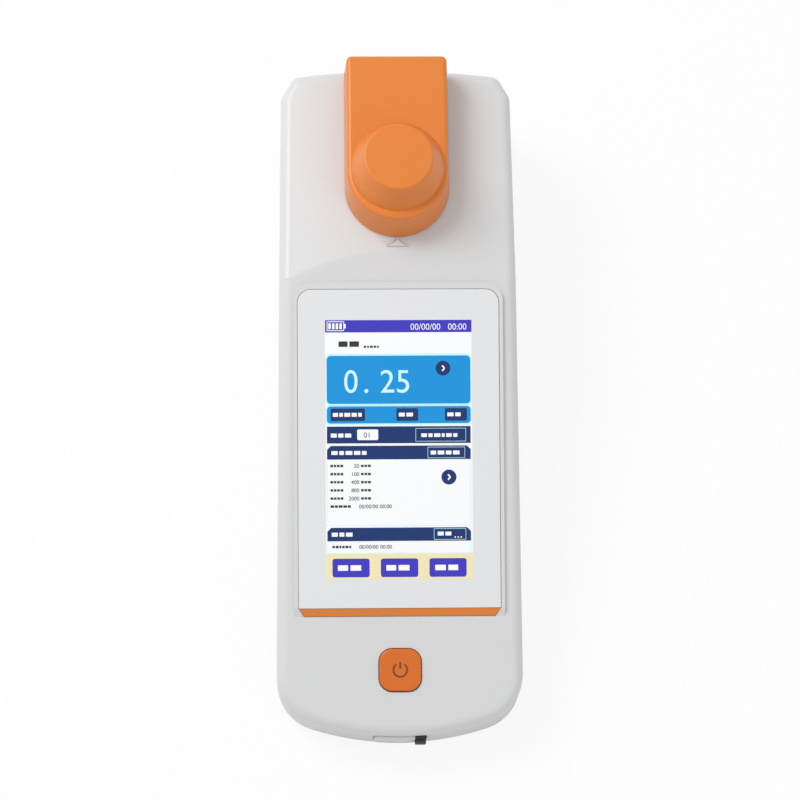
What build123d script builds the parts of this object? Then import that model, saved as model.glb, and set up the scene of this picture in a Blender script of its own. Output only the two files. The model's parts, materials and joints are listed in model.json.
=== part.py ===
from build123d import *
from math import atan2, cos, sin, sqrt, tan
import os

os.makedirs("parts", exist_ok=True)

# Portable turbidity meter: a wedge-shaped hand-held housing with a vial well under a
# hinged lid on its level head, and a display face that slopes down towards the user.
# Frame: +X to the user's right, +Y from the user to the head, +Z up.
# The origin is under the middle of the meter, on the surface that its feet rest on.
# All sizes are in millimetres.

# Housing, overall
BODY_LENGTH = 245.5
FRONT_WIDTH = 90.6
BACK_WIDTH = 86.0
HEAD_HEIGHT = 60.0          # top of the head on the centre line, above the table
HEAD_LENGTH = 72.4          # from the back face to the crease above the display face
FRONT_HEIGHT = 20.04        # where the display face would meet the front face
CROWN_RADIUS = 350.0        # the head is crowned across its width
CREASE_RADIUS = 3.0
FRONT_ARC_RADIUS = 106.0
FRONT_CORNER_RADIUS = 18.0
BACK_ARC_RADIUS = 380.0
BACK_FACET_WIDTH = 4.6      # flat facets cut the two back corners
BACK_FACET_LENGTH = 8.2
BACK_FACET_BLEND = 5.0
TOP_EDGE_RADIUS = 4.2
BOTTOM_EDGE_RADIUS = 2.0
WALL = 2.5
FIT = 0.15                  # gap round a piece that drops into a recess

# Joint between the two housing halves
FOOT_PROUD = 1.5
PARTING_HEIGHT = 5.5
TONGUE_WIDTH = 1.1
TONGUE_HEIGHT = 1.6
SEAL_HEIGHT = 0.8
PILLAR_HEIGHT = 7.0         # top of the base pillars above the table
PILLAR_RADIUS = 3.9
BOSS_RADIUS = 3.4
BOSS_WALL_GAP = 0.2
CASE_SCREW_RADIUS = 1.5
CASE_SCREW_LENGTH = 9.0
SCREW_HEAD_RADIUS = 2.7
SCREW_HEAD_HEIGHT = 2.0
COUNTERBORE_CLEARANCE = 0.3
INSERT_RADIUS = 2.2
INSERT_LENGTH = 6.0
CASE_SCREW_FRONT = 26.0     # front pair behind the front face
CASE_SCREW_BACK = 18.5      # back pair in front of the back face
CASE_SCREW_MIDDLE = 0.43    # middle pair, as a share of the way from front to back pair
FOOT_RADIUS = 5.0
FOOT_RECESS = 0.6
FOOT_BEHIND_SCREW = 12.5    # feet towards the middle from the end pairs of case screws
FOOT_SIDE_GAP = 4.0         # between a foot and the inside of the side wall

# Screen and its raised platform, placed by their distance down the display face
PLATFORM_WIDTH = 77.0
PLATFORM_START = 11.9
PLATFORM_RISE = 1.3
PLATFORM_CORNER_RADIUS = 6.5
PLATFORM_EDGE_RADIUS = 0.9
LENS_WIDTH = 74.1
LENS_START = 14.4
LENS_TO_BUTTON = 22.6       # from the lens's lower end to the button's centre
LENS_THICKNESS = 1.6
LENS_CORNER_RADIUS = 5.0
TAPE_THICKNESS = 0.2
STRIP_LENGTH = 3.1          # sloping accent strip below the lens
STRIP_MITRE = 2.0
STRIP_DEPTH = 1.2
STRIP_PROUD = 0.25
LEDGE_THICKNESS = 1.2
ACTIVE_WIDTH = 53.86        # lit area
ACTIVE_START = 25.8
ACTIVE_END_GAP = 10.56      # from the lit area to the lens's lower end
WINDOW_SIDE = 3.07          # window beyond the lit area at each side
WINDOW_END = 2.48           # and at each end
DISPLAY_SIDE = 6.67         # display module beyond the lit area at each side
DISPLAY_END = 5.23          # and at each end
DISPLAY_THICKNESS = 2.9
BRACKET_THICKNESS = 0.8
BRACKET_SCREW_SPACING = 48.0
BRACKET_SCREW_MARGIN = 4.2  # bracket screws beyond each end of the display
BRACKET_SCREW_LENGTH = 3.0
SMALL_BOSS_RADIUS = 2.7
SMALL_SCREW_RADIUS = 1.0
SMALL_SCREW_HEAD_RADIUS = 1.9
SMALL_SCREW_HEAD_HEIGHT = 1.2
SMALL_SCREW_LENGTH = 5.0
RUN_OUT = 0.3               # air beyond a screw's end

# Power button
BUTTON_FROM_FRONT = 23.65   # button's centre up the display face from its front end
BUTTON_WIDTH = 15.4
BUTTON_CORNER_RADIUS = 4.8
BUTTON_PROUD = 1.0
BUTTON_GAP = 0.3
BUTTON_FLANGE_WIDTH = 1.6
BUTTON_FLANGE_HEIGHT = 1.2
BUTTON_TRAVEL = 0.8
BUTTON_EDGE_RADIUS = 0.7
BUTTON_DISH_DEPTH = 0.25
STEM_RADIUS = 3.0
STEM_LENGTH = 1.2
SLEEVE_WALL = 1.4
SLEEVE_DEPTH = 3.0
SWITCH_WIDTH = 6.2
SWITCH_HEIGHT = 3.4
PLUNGER_RADIUS = 1.75
PLUNGER_HEIGHT = 0.5
BUTTON_BOARD_WIDTH = 40.0
BUTTON_BOARD_LENGTH = 15.0
BUTTON_BOARD_THICKNESS = 1.2
BUTTON_SCREW_SPACING = 33.0

# Lid and its hinge
LID_BACK_GAP = 1.2          # lid's back wall inside the housing's back face
LID_NOSE_SETBACK = 24.4     # centre of the lid's round nose behind the crease
LID_FOOT_WIDTH = 38.9
LID_TOP_WIDTH = 37.0
LID_NOSE_LEAN = 1.4         # the nose leans back by this much over its height
LID_HEIGHT = 15.2           # top of the plate above the head
LID_WALL = 2.1
LID_GAP = 0.3               # air between the lid's rim and the head
LID_EDGE_RADIUS = 1.6
LID_CORNER_RADIUS = 2.0
KNOB_HEIGHT = 10.9
KNOB_TOP_RADIUS = 12.5
KNOB_FOOT_RADIUS = 17.2
KNOB_EDGE_RADIUS = 0.9
HINGE_RADIUS = 4.0          # lid's back corner is round about the pin
HINGE_RISE = 5.2            # pin above the head
PIN_RADIUS = 1.25
PIN_CLEARANCE = 0.05
BARREL_RADIUS = 2.8
BARREL_WIDTH = 24.0
BARREL_SIDE_GAP = 0.4
BARREL_NOTCH_GAP = 1.2
LUG_WIDTH = 5.0

# Pointer on the head that the mark on a vial lines up with
POINTER_LENGTH = 3.0
POINTER_WIDTH = 8.4
POINTER_RISE = 0.8

# Vial well and its collar
WELL_SETBACK = 27.2         # well axis behind the crease
VIAL_RADIUS = 12.5
VIAL_CLEARANCE = 0.25
WELL_WALL = 2.75
WELL_FLOOR = 2.0
WELL_BOTTOM = 8.5           # underside of the well above the table
COLLAR_WALL = 1.65
COLLAR_HEIGHT = 4.0         # collar above the head
COLLAR_HOLE_GAP = 0.2
FLANGE_WIDTH = 42.0
FLANGE_THICKNESS = 2.5
FLANGE_DROP = 4.0           # flange top below the head's top
FLANGE_SCREW_SPACING = 34.0
FLANGE_CORNER_RADIUS = 7.0
POCKET_RADIUS = 16.5
POCKET_DEPTH = 1.0
SKIRT_WALL = 0.9
SKIRT_GAP = 0.8
LID_SEAL_HEIGHT = 0.9
LID_SEAL_GAP = 0.3
WELL_SEAL_WIDTH = 2.0
WELL_SEAL_HEIGHT = 1.0
MAGNET_RADIUS = 1.75
MAGNET_LENGTH = 3.0
CATCH_THICKNESS = 1.2       # steel catch disc in the head
CATCH_MARGIN = 0.2
MAGNET_BOSS_WALL = 0.8
MAGNET_ROOF = 1.2           # boss above the magnet

# Optics round the well
BEAM_HEIGHT = 32.0          # light path above the table
BEAM_RADIUS = 2.5
PORT_RADIUS = 4.1
PORT_BOSS_RADIUS = 6.5
PORT_REACH = 26.0           # board face from the well's axis
PORT_PAD_WIDTH = 18.0
PORT_PAD_THICKNESS = 3.0
PORT_SCREW_SPACING = 13.4
OPTIC_LENS_RADIUS = 3.95
OPTIC_LENS_THICKNESS = 3.0
OPTIC_LENS_EDGE = 1.4
OPTIC_BOARD_THICKNESS = 1.6
LAMP_RADIUS = 2.5
LAMP_LENGTH = 6.2
LAMP_FLANGE_RADIUS = 2.9
DETECTOR_RADIUS = 3.6
DETECTOR_LENGTH = 4.5
PREAMP_WIDTH = 30.0
PREAMP_HEIGHT = 26.0
PREAMP_POST_SPACING = 22.0
PREAMP_REACH = 20.0

# Main board and what it carries
BOARD_HEIGHT = 9.4          # underside of the main board above the table
BOARD_THICKNESS = 1.6
BOARD_SIDE_GAP = 1.55       # between the board and the pillars of the case screws
BOARD_INSET = 6.0           # board's edge from the outside of the front wall
BOARD_DOOR_GAP = 4.35       # between the board and the bosses of the door screws
STANDOFF_RADIUS = 3.0
STANDOFF_SIDE = 6.0         # standoffs from the board's side edges
STANDOFF_FRONT = 24.0       # front pair behind the front face
STANDOFF_BACK = 7.0         # back pair from the board's back edge
SOCKET_WIDTH = 8.94
SOCKET_HEIGHT = 3.2
SOCKET_LENGTH = 7.4
SOCKET_WALL = 0.3
CHIP_WIDTH = 14.0           # main chip
CHIP_PLACE = 0.69           # chips: share of the way from the front face to the ribbon's plug
CHIP_LENGTH = 0.27          # as a share of the same distance
SIDE_CHIP_X = 18.0
SIDE_CHIP_WIDTH = 8.0
SIDE_CHIP_LENGTH = 0.12
SIDE_CHIP_PLACES = (0.65, 0.88)
MEMORY_CHIP_WIDTH = 6.0
MEMORY_CHIP_LENGTH = 0.17
CHIP_HEIGHT = 1.4
BUZZER_X = 20.0             # buzzer to the left, battery plug to the right
BUZZER_RADIUS = 4.5
BUZZER_HEIGHT = 3.0
BATTERY_PLUG_WIDTH = 8.0
BATTERY_PLUG_LENGTH = 6.0
CONNECTOR_HEIGHT = 2.0
CONNECTOR_LENGTH = 5.0
CONNECTOR_SIDE = 1.0        # connector beyond its ribbon at each side
RIBBON_PLUG_GAP = 16.0      # between the two ribbon connectors
SENSOR_PLUG_BACK = 6.0      # sensor ribbon's connector from the board's back edge
RIBBON_THICKNESS = 0.35
RIBBON_WIDTH = 24.0
RIBBON_BEND = 1.2
RIBBON_RUN = 3.0            # level run of a ribbon before its connector
RIBBON_DROP = 3.5           # display ribbon below the bracket
RIBBON_FROM_END = 12.0      # bracket's slot for the ribbon from the display's lower end
SENSOR_RIBBON_WIDTH = 12.0
SENSOR_RIBBON_RISE = 1.2    # sensor ribbon above the battery bay

# Charging port and its rubber flap
PORT_FLAP_WIDTH = 19.2
PORT_FLAP_HEIGHT = 7.4
PORT_FLAP_PROUD = 1.0
PORT_FLAP_SEAT = 1.2
PORT_FLAP_GAP = 0.25
PORT_FLAP_CORNER = 1.6
PULL_TAB_WIDTH = 4.0
PULL_TAB_PROUD = 1.0
PLUG_DEPTH = 1.6
PLUG_GAP = 0.6
PORT_HOLE_WIDTH = 12.4
PORT_HOLE_HEIGHT = 6.2
PORT_BLOCK_WIDTH = 24.0
PORT_BLOCK_DEPTH = 4.9
ANCHOR_WIDTH = 2.4          # rubber anchor in a pocket behind the flap's left end
ANCHOR_DEPTH = 2.2

# Battery compartment
CELL_RADIUS = 9.2
CELL_LENGTH = 65.2
CELL_GAP = 0.6              # between the two cells
CELL_CLEARANCE = 0.2
CONTACT_SPACE = 3.0         # at each end of the cells
BAY_WALL = 1.8
BAY_OPTICS_GAP = 8.5        # between the bay's inside and the plug of the amplifier board
DOOR_THICKNESS = 1.4
DOOR_MARGIN = 2.6           # door lip beyond the bay's opening
DOOR_TAB = 9.0              # extra length for the two door screws
DOOR_CORNER_RADIUS = 3.0
DOOR_GAP = 0.3
DOOR_SCREW_SPACING = 26.0
CONTACT_THICKNESS = 0.4
CONTACT_WIDTH = 8.0

# Derived places
FRONT_Y = (PORT_FLAP_PROUD + PULL_TAB_PROUD - BODY_LENGTH) / 2
BACK_Y = FRONT_Y + BODY_LENGTH
CREASE_Y = BACK_Y - HEAD_LENGTH
BASE_Z = FOOT_PROUD
FLOOR_Z = BASE_Z + WALL
GROOVE_TOP = PARTING_HEIGHT + TONGUE_HEIGHT + SEAL_HEIGHT
FALL = atan2(HEAD_HEIGHT - FRONT_HEIGHT, BODY_LENGTH - HEAD_LENGTH)
FACE_LENGTH = (BODY_LENGTH - HEAD_LENGTH) / cos(FALL)
BUTTON_POSITION = FACE_LENGTH - BUTTON_FROM_FRONT
LENS_END = BUTTON_POSITION - LENS_TO_BUTTON
ACTIVE_LENGTH = LENS_END - ACTIVE_END_GAP - ACTIVE_START
WINDOW_WIDTH = ACTIVE_WIDTH + 2 * WINDOW_SIDE
WINDOW_LENGTH = ACTIVE_LENGTH + 2 * WINDOW_END
DISPLAY_WIDTH = ACTIVE_WIDTH + 2 * DISPLAY_SIDE
DISPLAY_LENGTH = ACTIVE_LENGTH + 2 * DISPLAY_END
WELL_Y = CREASE_Y + WELL_SETBACK
WELL_RADIUS = VIAL_RADIUS + VIAL_CLEARANCE
LID_BACK_Y = BACK_Y - LID_BACK_GAP
LID_FRONT_Y = CREASE_Y + LID_NOSE_SETBACK - LID_FOOT_WIDTH / 2
HINGE_Y = LID_BACK_Y - HINGE_RADIUS
HINGE_Z = HEAD_HEIGHT + HINGE_RISE
DISPLAY_FACE = Plane(
    origin=(0, CREASE_Y, HEAD_HEIGHT), x_dir=(1, 0, 0), z_dir=(0, -sin(FALL), cos(FALL))
)
# The same face from the side: local x runs down the face, local y stands up from it.
FACE_SIDE = Plane(
    origin=(0, CREASE_Y, HEAD_HEIGHT), x_dir=(0, -cos(FALL), -sin(FALL)), z_dir=(-1, 0, 0)
)
PLATFORM_END = LENS_END + STRIP_LENGTH
LEDGE_UNDERSIDE = PLATFORM_RISE - LENS_THICKNESS - LEDGE_THICKNESS
DISPLAY_CENTRE = ACTIVE_START + ACTIVE_LENGTH / 2
BRACKET_TOP = LEDGE_UNDERSIDE - DISPLAY_THICKNESS


def half_width(from_front):
    """Half the housing's width at a distance behind its front face."""
    share = from_front / BODY_LENGTH
    return FRONT_WIDTH / 2 + share * (BACK_WIDTH - FRONT_WIDTH) / 2


def plan(inset=0):
    """Outline of the housing seen from above, drawn in by inset."""
    front_sag = FRONT_ARC_RADIUS - sqrt(FRONT_ARC_RADIUS**2 - (FRONT_WIDTH / 2) ** 2)
    facet_x = BACK_WIDTH / 2 - BACK_FACET_WIDTH
    facet_y = BACK_Y - BACK_ARC_RADIUS + sqrt(BACK_ARC_RADIUS**2 - facet_x**2)
    side_y = facet_y - BACK_FACET_LENGTH
    front_corner = (FRONT_WIDTH / 2, FRONT_Y + front_sag)
    with BuildSketch() as outline:
        with BuildLine():
            ThreePointArc((facet_x, facet_y), (0, BACK_Y), (-facet_x, facet_y))
            Line((-facet_x, facet_y), (-BACK_WIDTH / 2, side_y))
            Line((-BACK_WIDTH / 2, side_y), (-front_corner[0], front_corner[1]))
            ThreePointArc((-front_corner[0], front_corner[1]), (0, FRONT_Y), front_corner)
            Line(front_corner, (BACK_WIDTH / 2, side_y))
            Line((BACK_WIDTH / 2, side_y), (facet_x, facet_y))
        make_face()
        corners = outline.vertices().sort_by(Axis.Y)
        fillet(corners[:2], radius=FRONT_CORNER_RADIUS)
        fillet(outline.vertices().sort_by(Axis.Y)[-4:], radius=BACK_FACET_BLEND)
        if inset:
            offset(amount=-inset)
    return outline.sketch


def wedge(inset=0):
    """The housing's outer form as one solid, drawn in by inset all round."""
    reach = 2 * BODY_LENGTH
    face_drop = reach * tan(FALL)
    top = HEAD_HEIGHT - inset
    face_top = HEAD_HEIGHT - inset / cos(FALL)
    edge_radius = TOP_EDGE_RADIUS - inset if TOP_EDGE_RADIUS > inset + 1 else 1
    with BuildPart() as body:
        with BuildSketch(Plane.XY.offset(BASE_Z + inset)):
            add(plan(inset))
        extrude(amount=HEAD_HEIGHT)
        with BuildSketch(Plane.XZ.offset(-reach / 2)):
            with Locations((0, HEAD_HEIGHT - CROWN_RADIUS)):
                Circle(CROWN_RADIUS - inset)
        extrude(amount=reach, mode=Mode.INTERSECT)
        with BuildSketch(Plane.YZ):
            with BuildLine():
                Polyline(
                    (CREASE_Y - reach, face_top - face_drop),
                    (CREASE_Y + reach, face_top + face_drop),
                    (CREASE_Y + reach, -reach),
                    (CREASE_Y - reach, -reach),
                    close=True,
                )
            make_face()
        extrude(amount=reach / 2, both=True, mode=Mode.INTERSECT)
        tops = body.faces().filter_by(lambda f: f.normal_at().Z > 0.9)
        crease = [
            e for e in tops[0].edges() if any(e.is_same(other) for other in tops[1].edges())
        ]
        fillet(crease, radius=CREASE_RADIUS + inset)
        tops = body.faces().filter_by(lambda f: f.normal_at().Z > 0.9)
        seen = [e for f in tops for e in f.edges()]
        rim = [e for e in seen if sum(e.is_same(other) for other in seen) == 1]
        fillet(rim, radius=edge_radius)
        if not inset:
            fillet(body.faces().sort_by(Axis.Z)[0].edges(), radius=BOTTOM_EDGE_RADIUS)
    return body.part


OUTER = wedge()
INNER = wedge(WALL)
BOSS_LIMIT = wedge(WALL / 2)


def beside_wall(distances, gap):
    """Places left and right at each distance behind the front face, by a gap from the wall."""
    places = []
    for from_front in distances:
        x = half_width(from_front) - WALL - gap
        places += [(-x, FRONT_Y + from_front), (x, FRONT_Y + from_front)]
    return places


LAST_SCREW = BODY_LENGTH - CASE_SCREW_BACK
MIDDLE_SCREW = CASE_SCREW_FRONT + CASE_SCREW_MIDDLE * (LAST_SCREW - CASE_SCREW_FRONT)
CASE_SCREWS = beside_wall(
    (CASE_SCREW_FRONT, MIDDLE_SCREW, LAST_SCREW), PILLAR_RADIUS + BOSS_WALL_GAP
)
FEET = beside_wall(
    (CASE_SCREW_FRONT + FOOT_BEHIND_SCREW, LAST_SCREW - FOOT_BEHIND_SCREW),
    FOOT_RADIUS + FOOT_SIDE_GAP,
)
BRACKET_SCREW_REACH = DISPLAY_LENGTH / 2 + BRACKET_SCREW_MARGIN
BRACKET_SCREWS = [
    (side * BRACKET_SCREW_SPACING / 2, end * BRACKET_SCREW_REACH - DISPLAY_CENTRE)
    for side in (-1, 1)
    for end in (-1, 1)
]
BUTTON_SCREWS = [(side * BUTTON_SCREW_SPACING / 2, -BUTTON_POSITION) for side in (-1, 1)]
FLANGE_SCREWS = [
    (sx * FLANGE_SCREW_SPACING / 2, WELL_Y + sy * FLANGE_SCREW_SPACING / 2)
    for sx in (-1, 1)
    for sy in (-1, 1)
]
FLANGE_TOP = HEAD_HEIGHT - FLANGE_DROP
SLEEVE_INSIDE = BUTTON_WIDTH + 2 * (BUTTON_FLANGE_WIDTH + 2 * BUTTON_GAP)
BUTTON_FLANGE_TOP = -WALL - FIT
STEM_END = BUTTON_FLANGE_TOP - BUTTON_FLANGE_HEIGHT - STEM_LENGTH
SWITCH_TOP = STEM_END - BUTTON_TRAVEL - RUN_OUT
BUTTON_BOARD_TOP = SWITCH_TOP - PLUNGER_HEIGHT - SWITCH_HEIGHT
COLLAR_RADIUS = WELL_RADIUS + COLLAR_WALL
PORT_CENTRE_Z = BOARD_HEIGHT + BOARD_THICKNESS + SOCKET_HEIGHT / 2
FLAP_BACK_Y = FRONT_Y + PORT_FLAP_SEAT
SEAT_Y = FLAP_BACK_Y + PORT_FLAP_GAP
CATCH_Y = WELL_Y - POCKET_RADIUS - CATCH_MARGIN - MAGNET_RADIUS
ANCHOR_X = (ANCHOR_WIDTH - PORT_FLAP_WIDTH) / 2 + FIT

# Raised platform round the screen, with its lower end sloping down to the face.
with BuildPart() as platform:
    with BuildSketch(DISPLAY_FACE.offset(-WALL / 2)) as platform_outline:
        with Locations((0, -(PLATFORM_START + PLATFORM_END) / 2)):
            Rectangle(PLATFORM_WIDTH, PLATFORM_END - PLATFORM_START)
        fillet(
            platform_outline.vertices().group_by(Axis.Y)[-1], radius=PLATFORM_CORNER_RADIUS
        )
    extrude(amount=WALL / 2 + PLATFORM_RISE)
    platform_top = platform.faces().sort_by(Axis.Z)[-1]
    rim = platform_top.edges().sort_by(Axis.Y)[1:]
    fillet(rim, radius=PLATFORM_EDGE_RADIUS)
    with BuildSketch(FACE_SIDE):
        with BuildLine():
            Polyline(
                (LENS_END, PLATFORM_RISE),
                (PLATFORM_END, 0),
                (PLATFORM_END + WALL, 0),
                (PLATFORM_END + WALL, 2 * PLATFORM_RISE),
                (LENS_END, 2 * PLATFORM_RISE),
                close=True,
            )
        make_face()
    extrude(amount=PLATFORM_WIDTH, both=True, mode=Mode.SUBTRACT)

# Top cover: one moulded shell with the head, the display face and the side walls.
with BuildPart() as top_cover:
    add(OUTER)
    add(INNER, mode=Mode.SUBTRACT)
    split(bisect_by=Plane.XY.offset(PARTING_HEIGHT), keep=Keep.TOP)
    add(platform.part)
    # Recess for the cover lens, the display window and the pocket for the display.
    with BuildSketch(DISPLAY_FACE.offset(PLATFORM_RISE)) as lens_recess:
        with Locations((0, -(LENS_START + LENS_END) / 2)):
            Rectangle(LENS_WIDTH + 2 * FIT, LENS_END - LENS_START + 2 * FIT)
        fillet(lens_recess.vertices().group_by(Axis.Y)[-1], radius=LENS_CORNER_RADIUS + FIT)
    extrude(amount=-LENS_THICKNESS, mode=Mode.SUBTRACT)
    with BuildSketch(DISPLAY_FACE.offset(PLATFORM_RISE)):
        with Locations((0, -DISPLAY_CENTRE)):
            RectangleRounded(WINDOW_WIDTH, WINDOW_LENGTH, radius=2)
    extrude(amount=-2 * WALL - PLATFORM_RISE, mode=Mode.SUBTRACT)
    with BuildSketch(DISPLAY_FACE.offset(LEDGE_UNDERSIDE)):
        with Locations((0, -DISPLAY_CENTRE)):
            Rectangle(DISPLAY_WIDTH + 2 * FIT, DISPLAY_LENGTH + 2 * FIT)
    extrude(amount=-WALL, mode=Mode.SUBTRACT)
    # Mitred pocket for the accent strip.
    with BuildSketch(DISPLAY_FACE.offset(-STRIP_DEPTH)):
        with BuildLine():
            Polyline(
                (-LENS_WIDTH / 2, -LENS_END + FIT),
                (LENS_WIDTH / 2, -LENS_END + FIT),
                (LENS_WIDTH / 2, -LENS_END - FIT),
                (LENS_WIDTH / 2 - STRIP_MITRE, -PLATFORM_END),
                (STRIP_MITRE - LENS_WIDTH / 2, -PLATFORM_END),
                (-LENS_WIDTH / 2, -LENS_END - FIT),
                close=True,
            )
        make_face()
    extrude(amount=STRIP_DEPTH + PLATFORM_RISE, mode=Mode.SUBTRACT)
    # Hole and guide sleeve for the power button.
    with BuildSketch(DISPLAY_FACE.offset(-WALL / 2)):
        with Locations((0, -BUTTON_POSITION)):
            RectangleRounded(
                SLEEVE_INSIDE + 2 * SLEEVE_WALL,
                SLEEVE_INSIDE + 2 * SLEEVE_WALL,
                radius=BUTTON_CORNER_RADIUS + BUTTON_FLANGE_WIDTH + SLEEVE_WALL,
            )
    extrude(amount=-WALL / 2 - SLEEVE_DEPTH)
    with BuildSketch(DISPLAY_FACE.offset(-WALL)):
        with Locations((0, -BUTTON_POSITION)):
            RectangleRounded(
                SLEEVE_INSIDE, SLEEVE_INSIDE, radius=BUTTON_CORNER_RADIUS + BUTTON_FLANGE_WIDTH
            )
    extrude(amount=-SLEEVE_DEPTH, mode=Mode.SUBTRACT)
    with BuildSketch(DISPLAY_FACE):
        with Locations((0, -BUTTON_POSITION)):
            RectangleRounded(
                BUTTON_WIDTH + 2 * BUTTON_GAP,
                BUTTON_WIDTH + 2 * BUTTON_GAP,
                radius=BUTTON_CORNER_RADIUS + BUTTON_GAP,
            )
    extrude(amount=-2 * WALL, mode=Mode.SUBTRACT)
    # Thick wall block behind the charging port.
    with BuildSketch(Plane.XY.offset(GROOVE_TOP)):
        with Locations((0, FRONT_Y + PORT_BLOCK_DEPTH / 2 + WALL / 4)):
            Rectangle(PORT_BLOCK_WIDTH, PORT_BLOCK_DEPTH - WALL / 2)
    extrude(amount=PORT_CENTRE_Z + PORT_FLAP_HEIGHT / 2 + 1 - GROOVE_TOP)

# Bosses that hang from the roof, cut off inside the wall's thickness.
with BuildPart() as bosses:
    with BuildSketch(Plane.XY.offset(PILLAR_HEIGHT)):
        with Locations(*CASE_SCREWS):
            Circle(BOSS_RADIUS)
    extrude(amount=HEAD_HEIGHT)
    with BuildSketch(Plane.XY.offset(FLANGE_TOP)):
        with Locations(*FLANGE_SCREWS):
            Circle(SMALL_BOSS_RADIUS)
    extrude(amount=HEAD_HEIGHT)
    with BuildSketch(DISPLAY_FACE.offset(BRACKET_TOP)):
        with Locations(*BRACKET_SCREWS):
            Circle(SMALL_BOSS_RADIUS)
    extrude(amount=-BRACKET_TOP)
    with BuildSketch(DISPLAY_FACE.offset(BUTTON_BOARD_TOP)):
        with Locations(*BUTTON_SCREWS):
            Circle(SMALL_BOSS_RADIUS)
    extrude(amount=-BUTTON_BOARD_TOP)
    add(BOSS_LIMIT, mode=Mode.INTERSECT)

# Hinge barrel on its web, behind the well.
with BuildPart() as hinge_barrel:
    with BuildSketch(Plane.YZ):
        with Locations((HINGE_Y, HINGE_Z)):
            Circle(BARREL_RADIUS)
        with Locations((HINGE_Y - BARREL_RADIUS / 4, HINGE_Z - (HINGE_RISE + WALL / 2) / 2)):
            Rectangle(BARREL_RADIUS * 1.5, HINGE_RISE + WALL / 2)
    extrude(amount=BARREL_WIDTH / 2, both=True)

# Small pointer in front of the lid that the mark on a vial lines up with.
with BuildPart() as pointer:
    with BuildSketch(Plane.XY.offset(HEAD_HEIGHT - WALL / 2)):
        with BuildLine():
            foot = LID_FRONT_Y - LID_GAP - POINTER_LENGTH
            Line((0, foot), (POINTER_WIDTH / 2, foot))
            ThreePointArc(
                (POINTER_WIDTH / 2, foot),
                (POINTER_WIDTH / 5, foot + POINTER_LENGTH / 3),
                (0, foot + POINTER_LENGTH),
            )
            mirror(about=Plane.YZ)
        make_face()
    extrude(amount=WALL / 2 + POINTER_RISE)

with top_cover:
    add(bosses.part)
    add(hinge_barrel.part)
    add(pointer.part)
    # Head: shallow round pocket and hole for the well's collar.
    with BuildSketch(Plane.XY.offset(HEAD_HEIGHT - POCKET_DEPTH)):
        with Locations((0, WELL_Y)):
            Circle(POCKET_RADIUS)
    extrude(amount=2 * POCKET_DEPTH, mode=Mode.SUBTRACT)
    with BuildSketch(Plane.XY.offset(HEAD_HEIGHT + WALL)):
        with Locations((0, WELL_Y)):
            Circle(COLLAR_RADIUS + COLLAR_HOLE_GAP)
    extrude(amount=-3 * WALL, mode=Mode.SUBTRACT)
    # Bore for the hinge pin.
    with BuildSketch(Plane.YZ):
        with Locations((HINGE_Y, HINGE_Z)):
            Circle(PIN_RADIUS + PIN_CLEARANCE)
    extrude(amount=BARREL_WIDTH, both=True, mode=Mode.SUBTRACT)
    # Groove for the base cover's tongue and the seal.
    with BuildSketch(Plane.XY.offset(PARTING_HEIGHT)):
        add(plan(WALL - TONGUE_WIDTH - FIT))
        add(plan(WALL + 1.5 * FIT), mode=Mode.SUBTRACT)
    extrude(amount=TONGUE_HEIGHT + SEAL_HEIGHT, mode=Mode.SUBTRACT)
    # Screw holes: inserts for the case screws, pilot holes for the small screws.
    with BuildSketch(Plane.XY.offset(PILLAR_HEIGHT)):
        with Locations(*CASE_SCREWS):
            Circle(INSERT_RADIUS)
    extrude(amount=INSERT_LENGTH, mode=Mode.SUBTRACT)
    with BuildSketch(Plane.XY.offset(FLANGE_TOP)):
        with Locations(*FLANGE_SCREWS):
            Circle(SMALL_SCREW_RADIUS)
    extrude(amount=SMALL_SCREW_LENGTH - FLANGE_THICKNESS + RUN_OUT, mode=Mode.SUBTRACT)
    with BuildSketch(DISPLAY_FACE.offset(BRACKET_TOP)):
        with Locations(*BRACKET_SCREWS):
            Circle(SMALL_SCREW_RADIUS)
    extrude(amount=-BRACKET_TOP - WALL + LEDGE_THICKNESS / 2, mode=Mode.SUBTRACT)
    with BuildSketch(DISPLAY_FACE.offset(BUTTON_BOARD_TOP)):
        with Locations(*BUTTON_SCREWS):
            Circle(SMALL_SCREW_RADIUS)
    extrude(amount=SMALL_SCREW_LENGTH - BUTTON_BOARD_THICKNESS + RUN_OUT, mode=Mode.SUBTRACT)
    # Pocket under the head for the lid's catch disc.
    with BuildSketch(Plane.XY.offset(HEAD_HEIGHT - WALL + CATCH_THICKNESS)):
        with Locations((0, CATCH_Y)):
            Circle(MAGNET_RADIUS)
    extrude(amount=-2 * CATCH_THICKNESS, mode=Mode.SUBTRACT)
    # Charging port: seat for the flap and a hole for the plug.
    with BuildSketch(Plane.XZ.offset(-SEAT_Y)):
        with Locations((0, PORT_CENTRE_Z)):
            RectangleRounded(
                PORT_FLAP_WIDTH + 2 * PORT_FLAP_GAP,
                PORT_FLAP_HEIGHT + 2 * PORT_FLAP_GAP,
                radius=PORT_FLAP_CORNER,
            )
    extrude(amount=3 * PORT_FLAP_SEAT, mode=Mode.SUBTRACT)
    with BuildSketch(Plane.XZ.offset(-SEAT_Y)):
        with Locations((ANCHOR_X, PORT_CENTRE_Z)):
            Rectangle(ANCHOR_WIDTH, PORT_HOLE_HEIGHT)
    extrude(amount=-ANCHOR_DEPTH, mode=Mode.SUBTRACT)
    with BuildSketch(Plane.XZ.offset(-FRONT_Y)):
        with Locations((0, PORT_CENTRE_Z)):
            RectangleRounded(PORT_HOLE_WIDTH, PORT_HOLE_HEIGHT, radius=PORT_HOLE_HEIGHT / 3)
    extrude(amount=-2 * PORT_BLOCK_DEPTH, mode=Mode.SUBTRACT)

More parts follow.
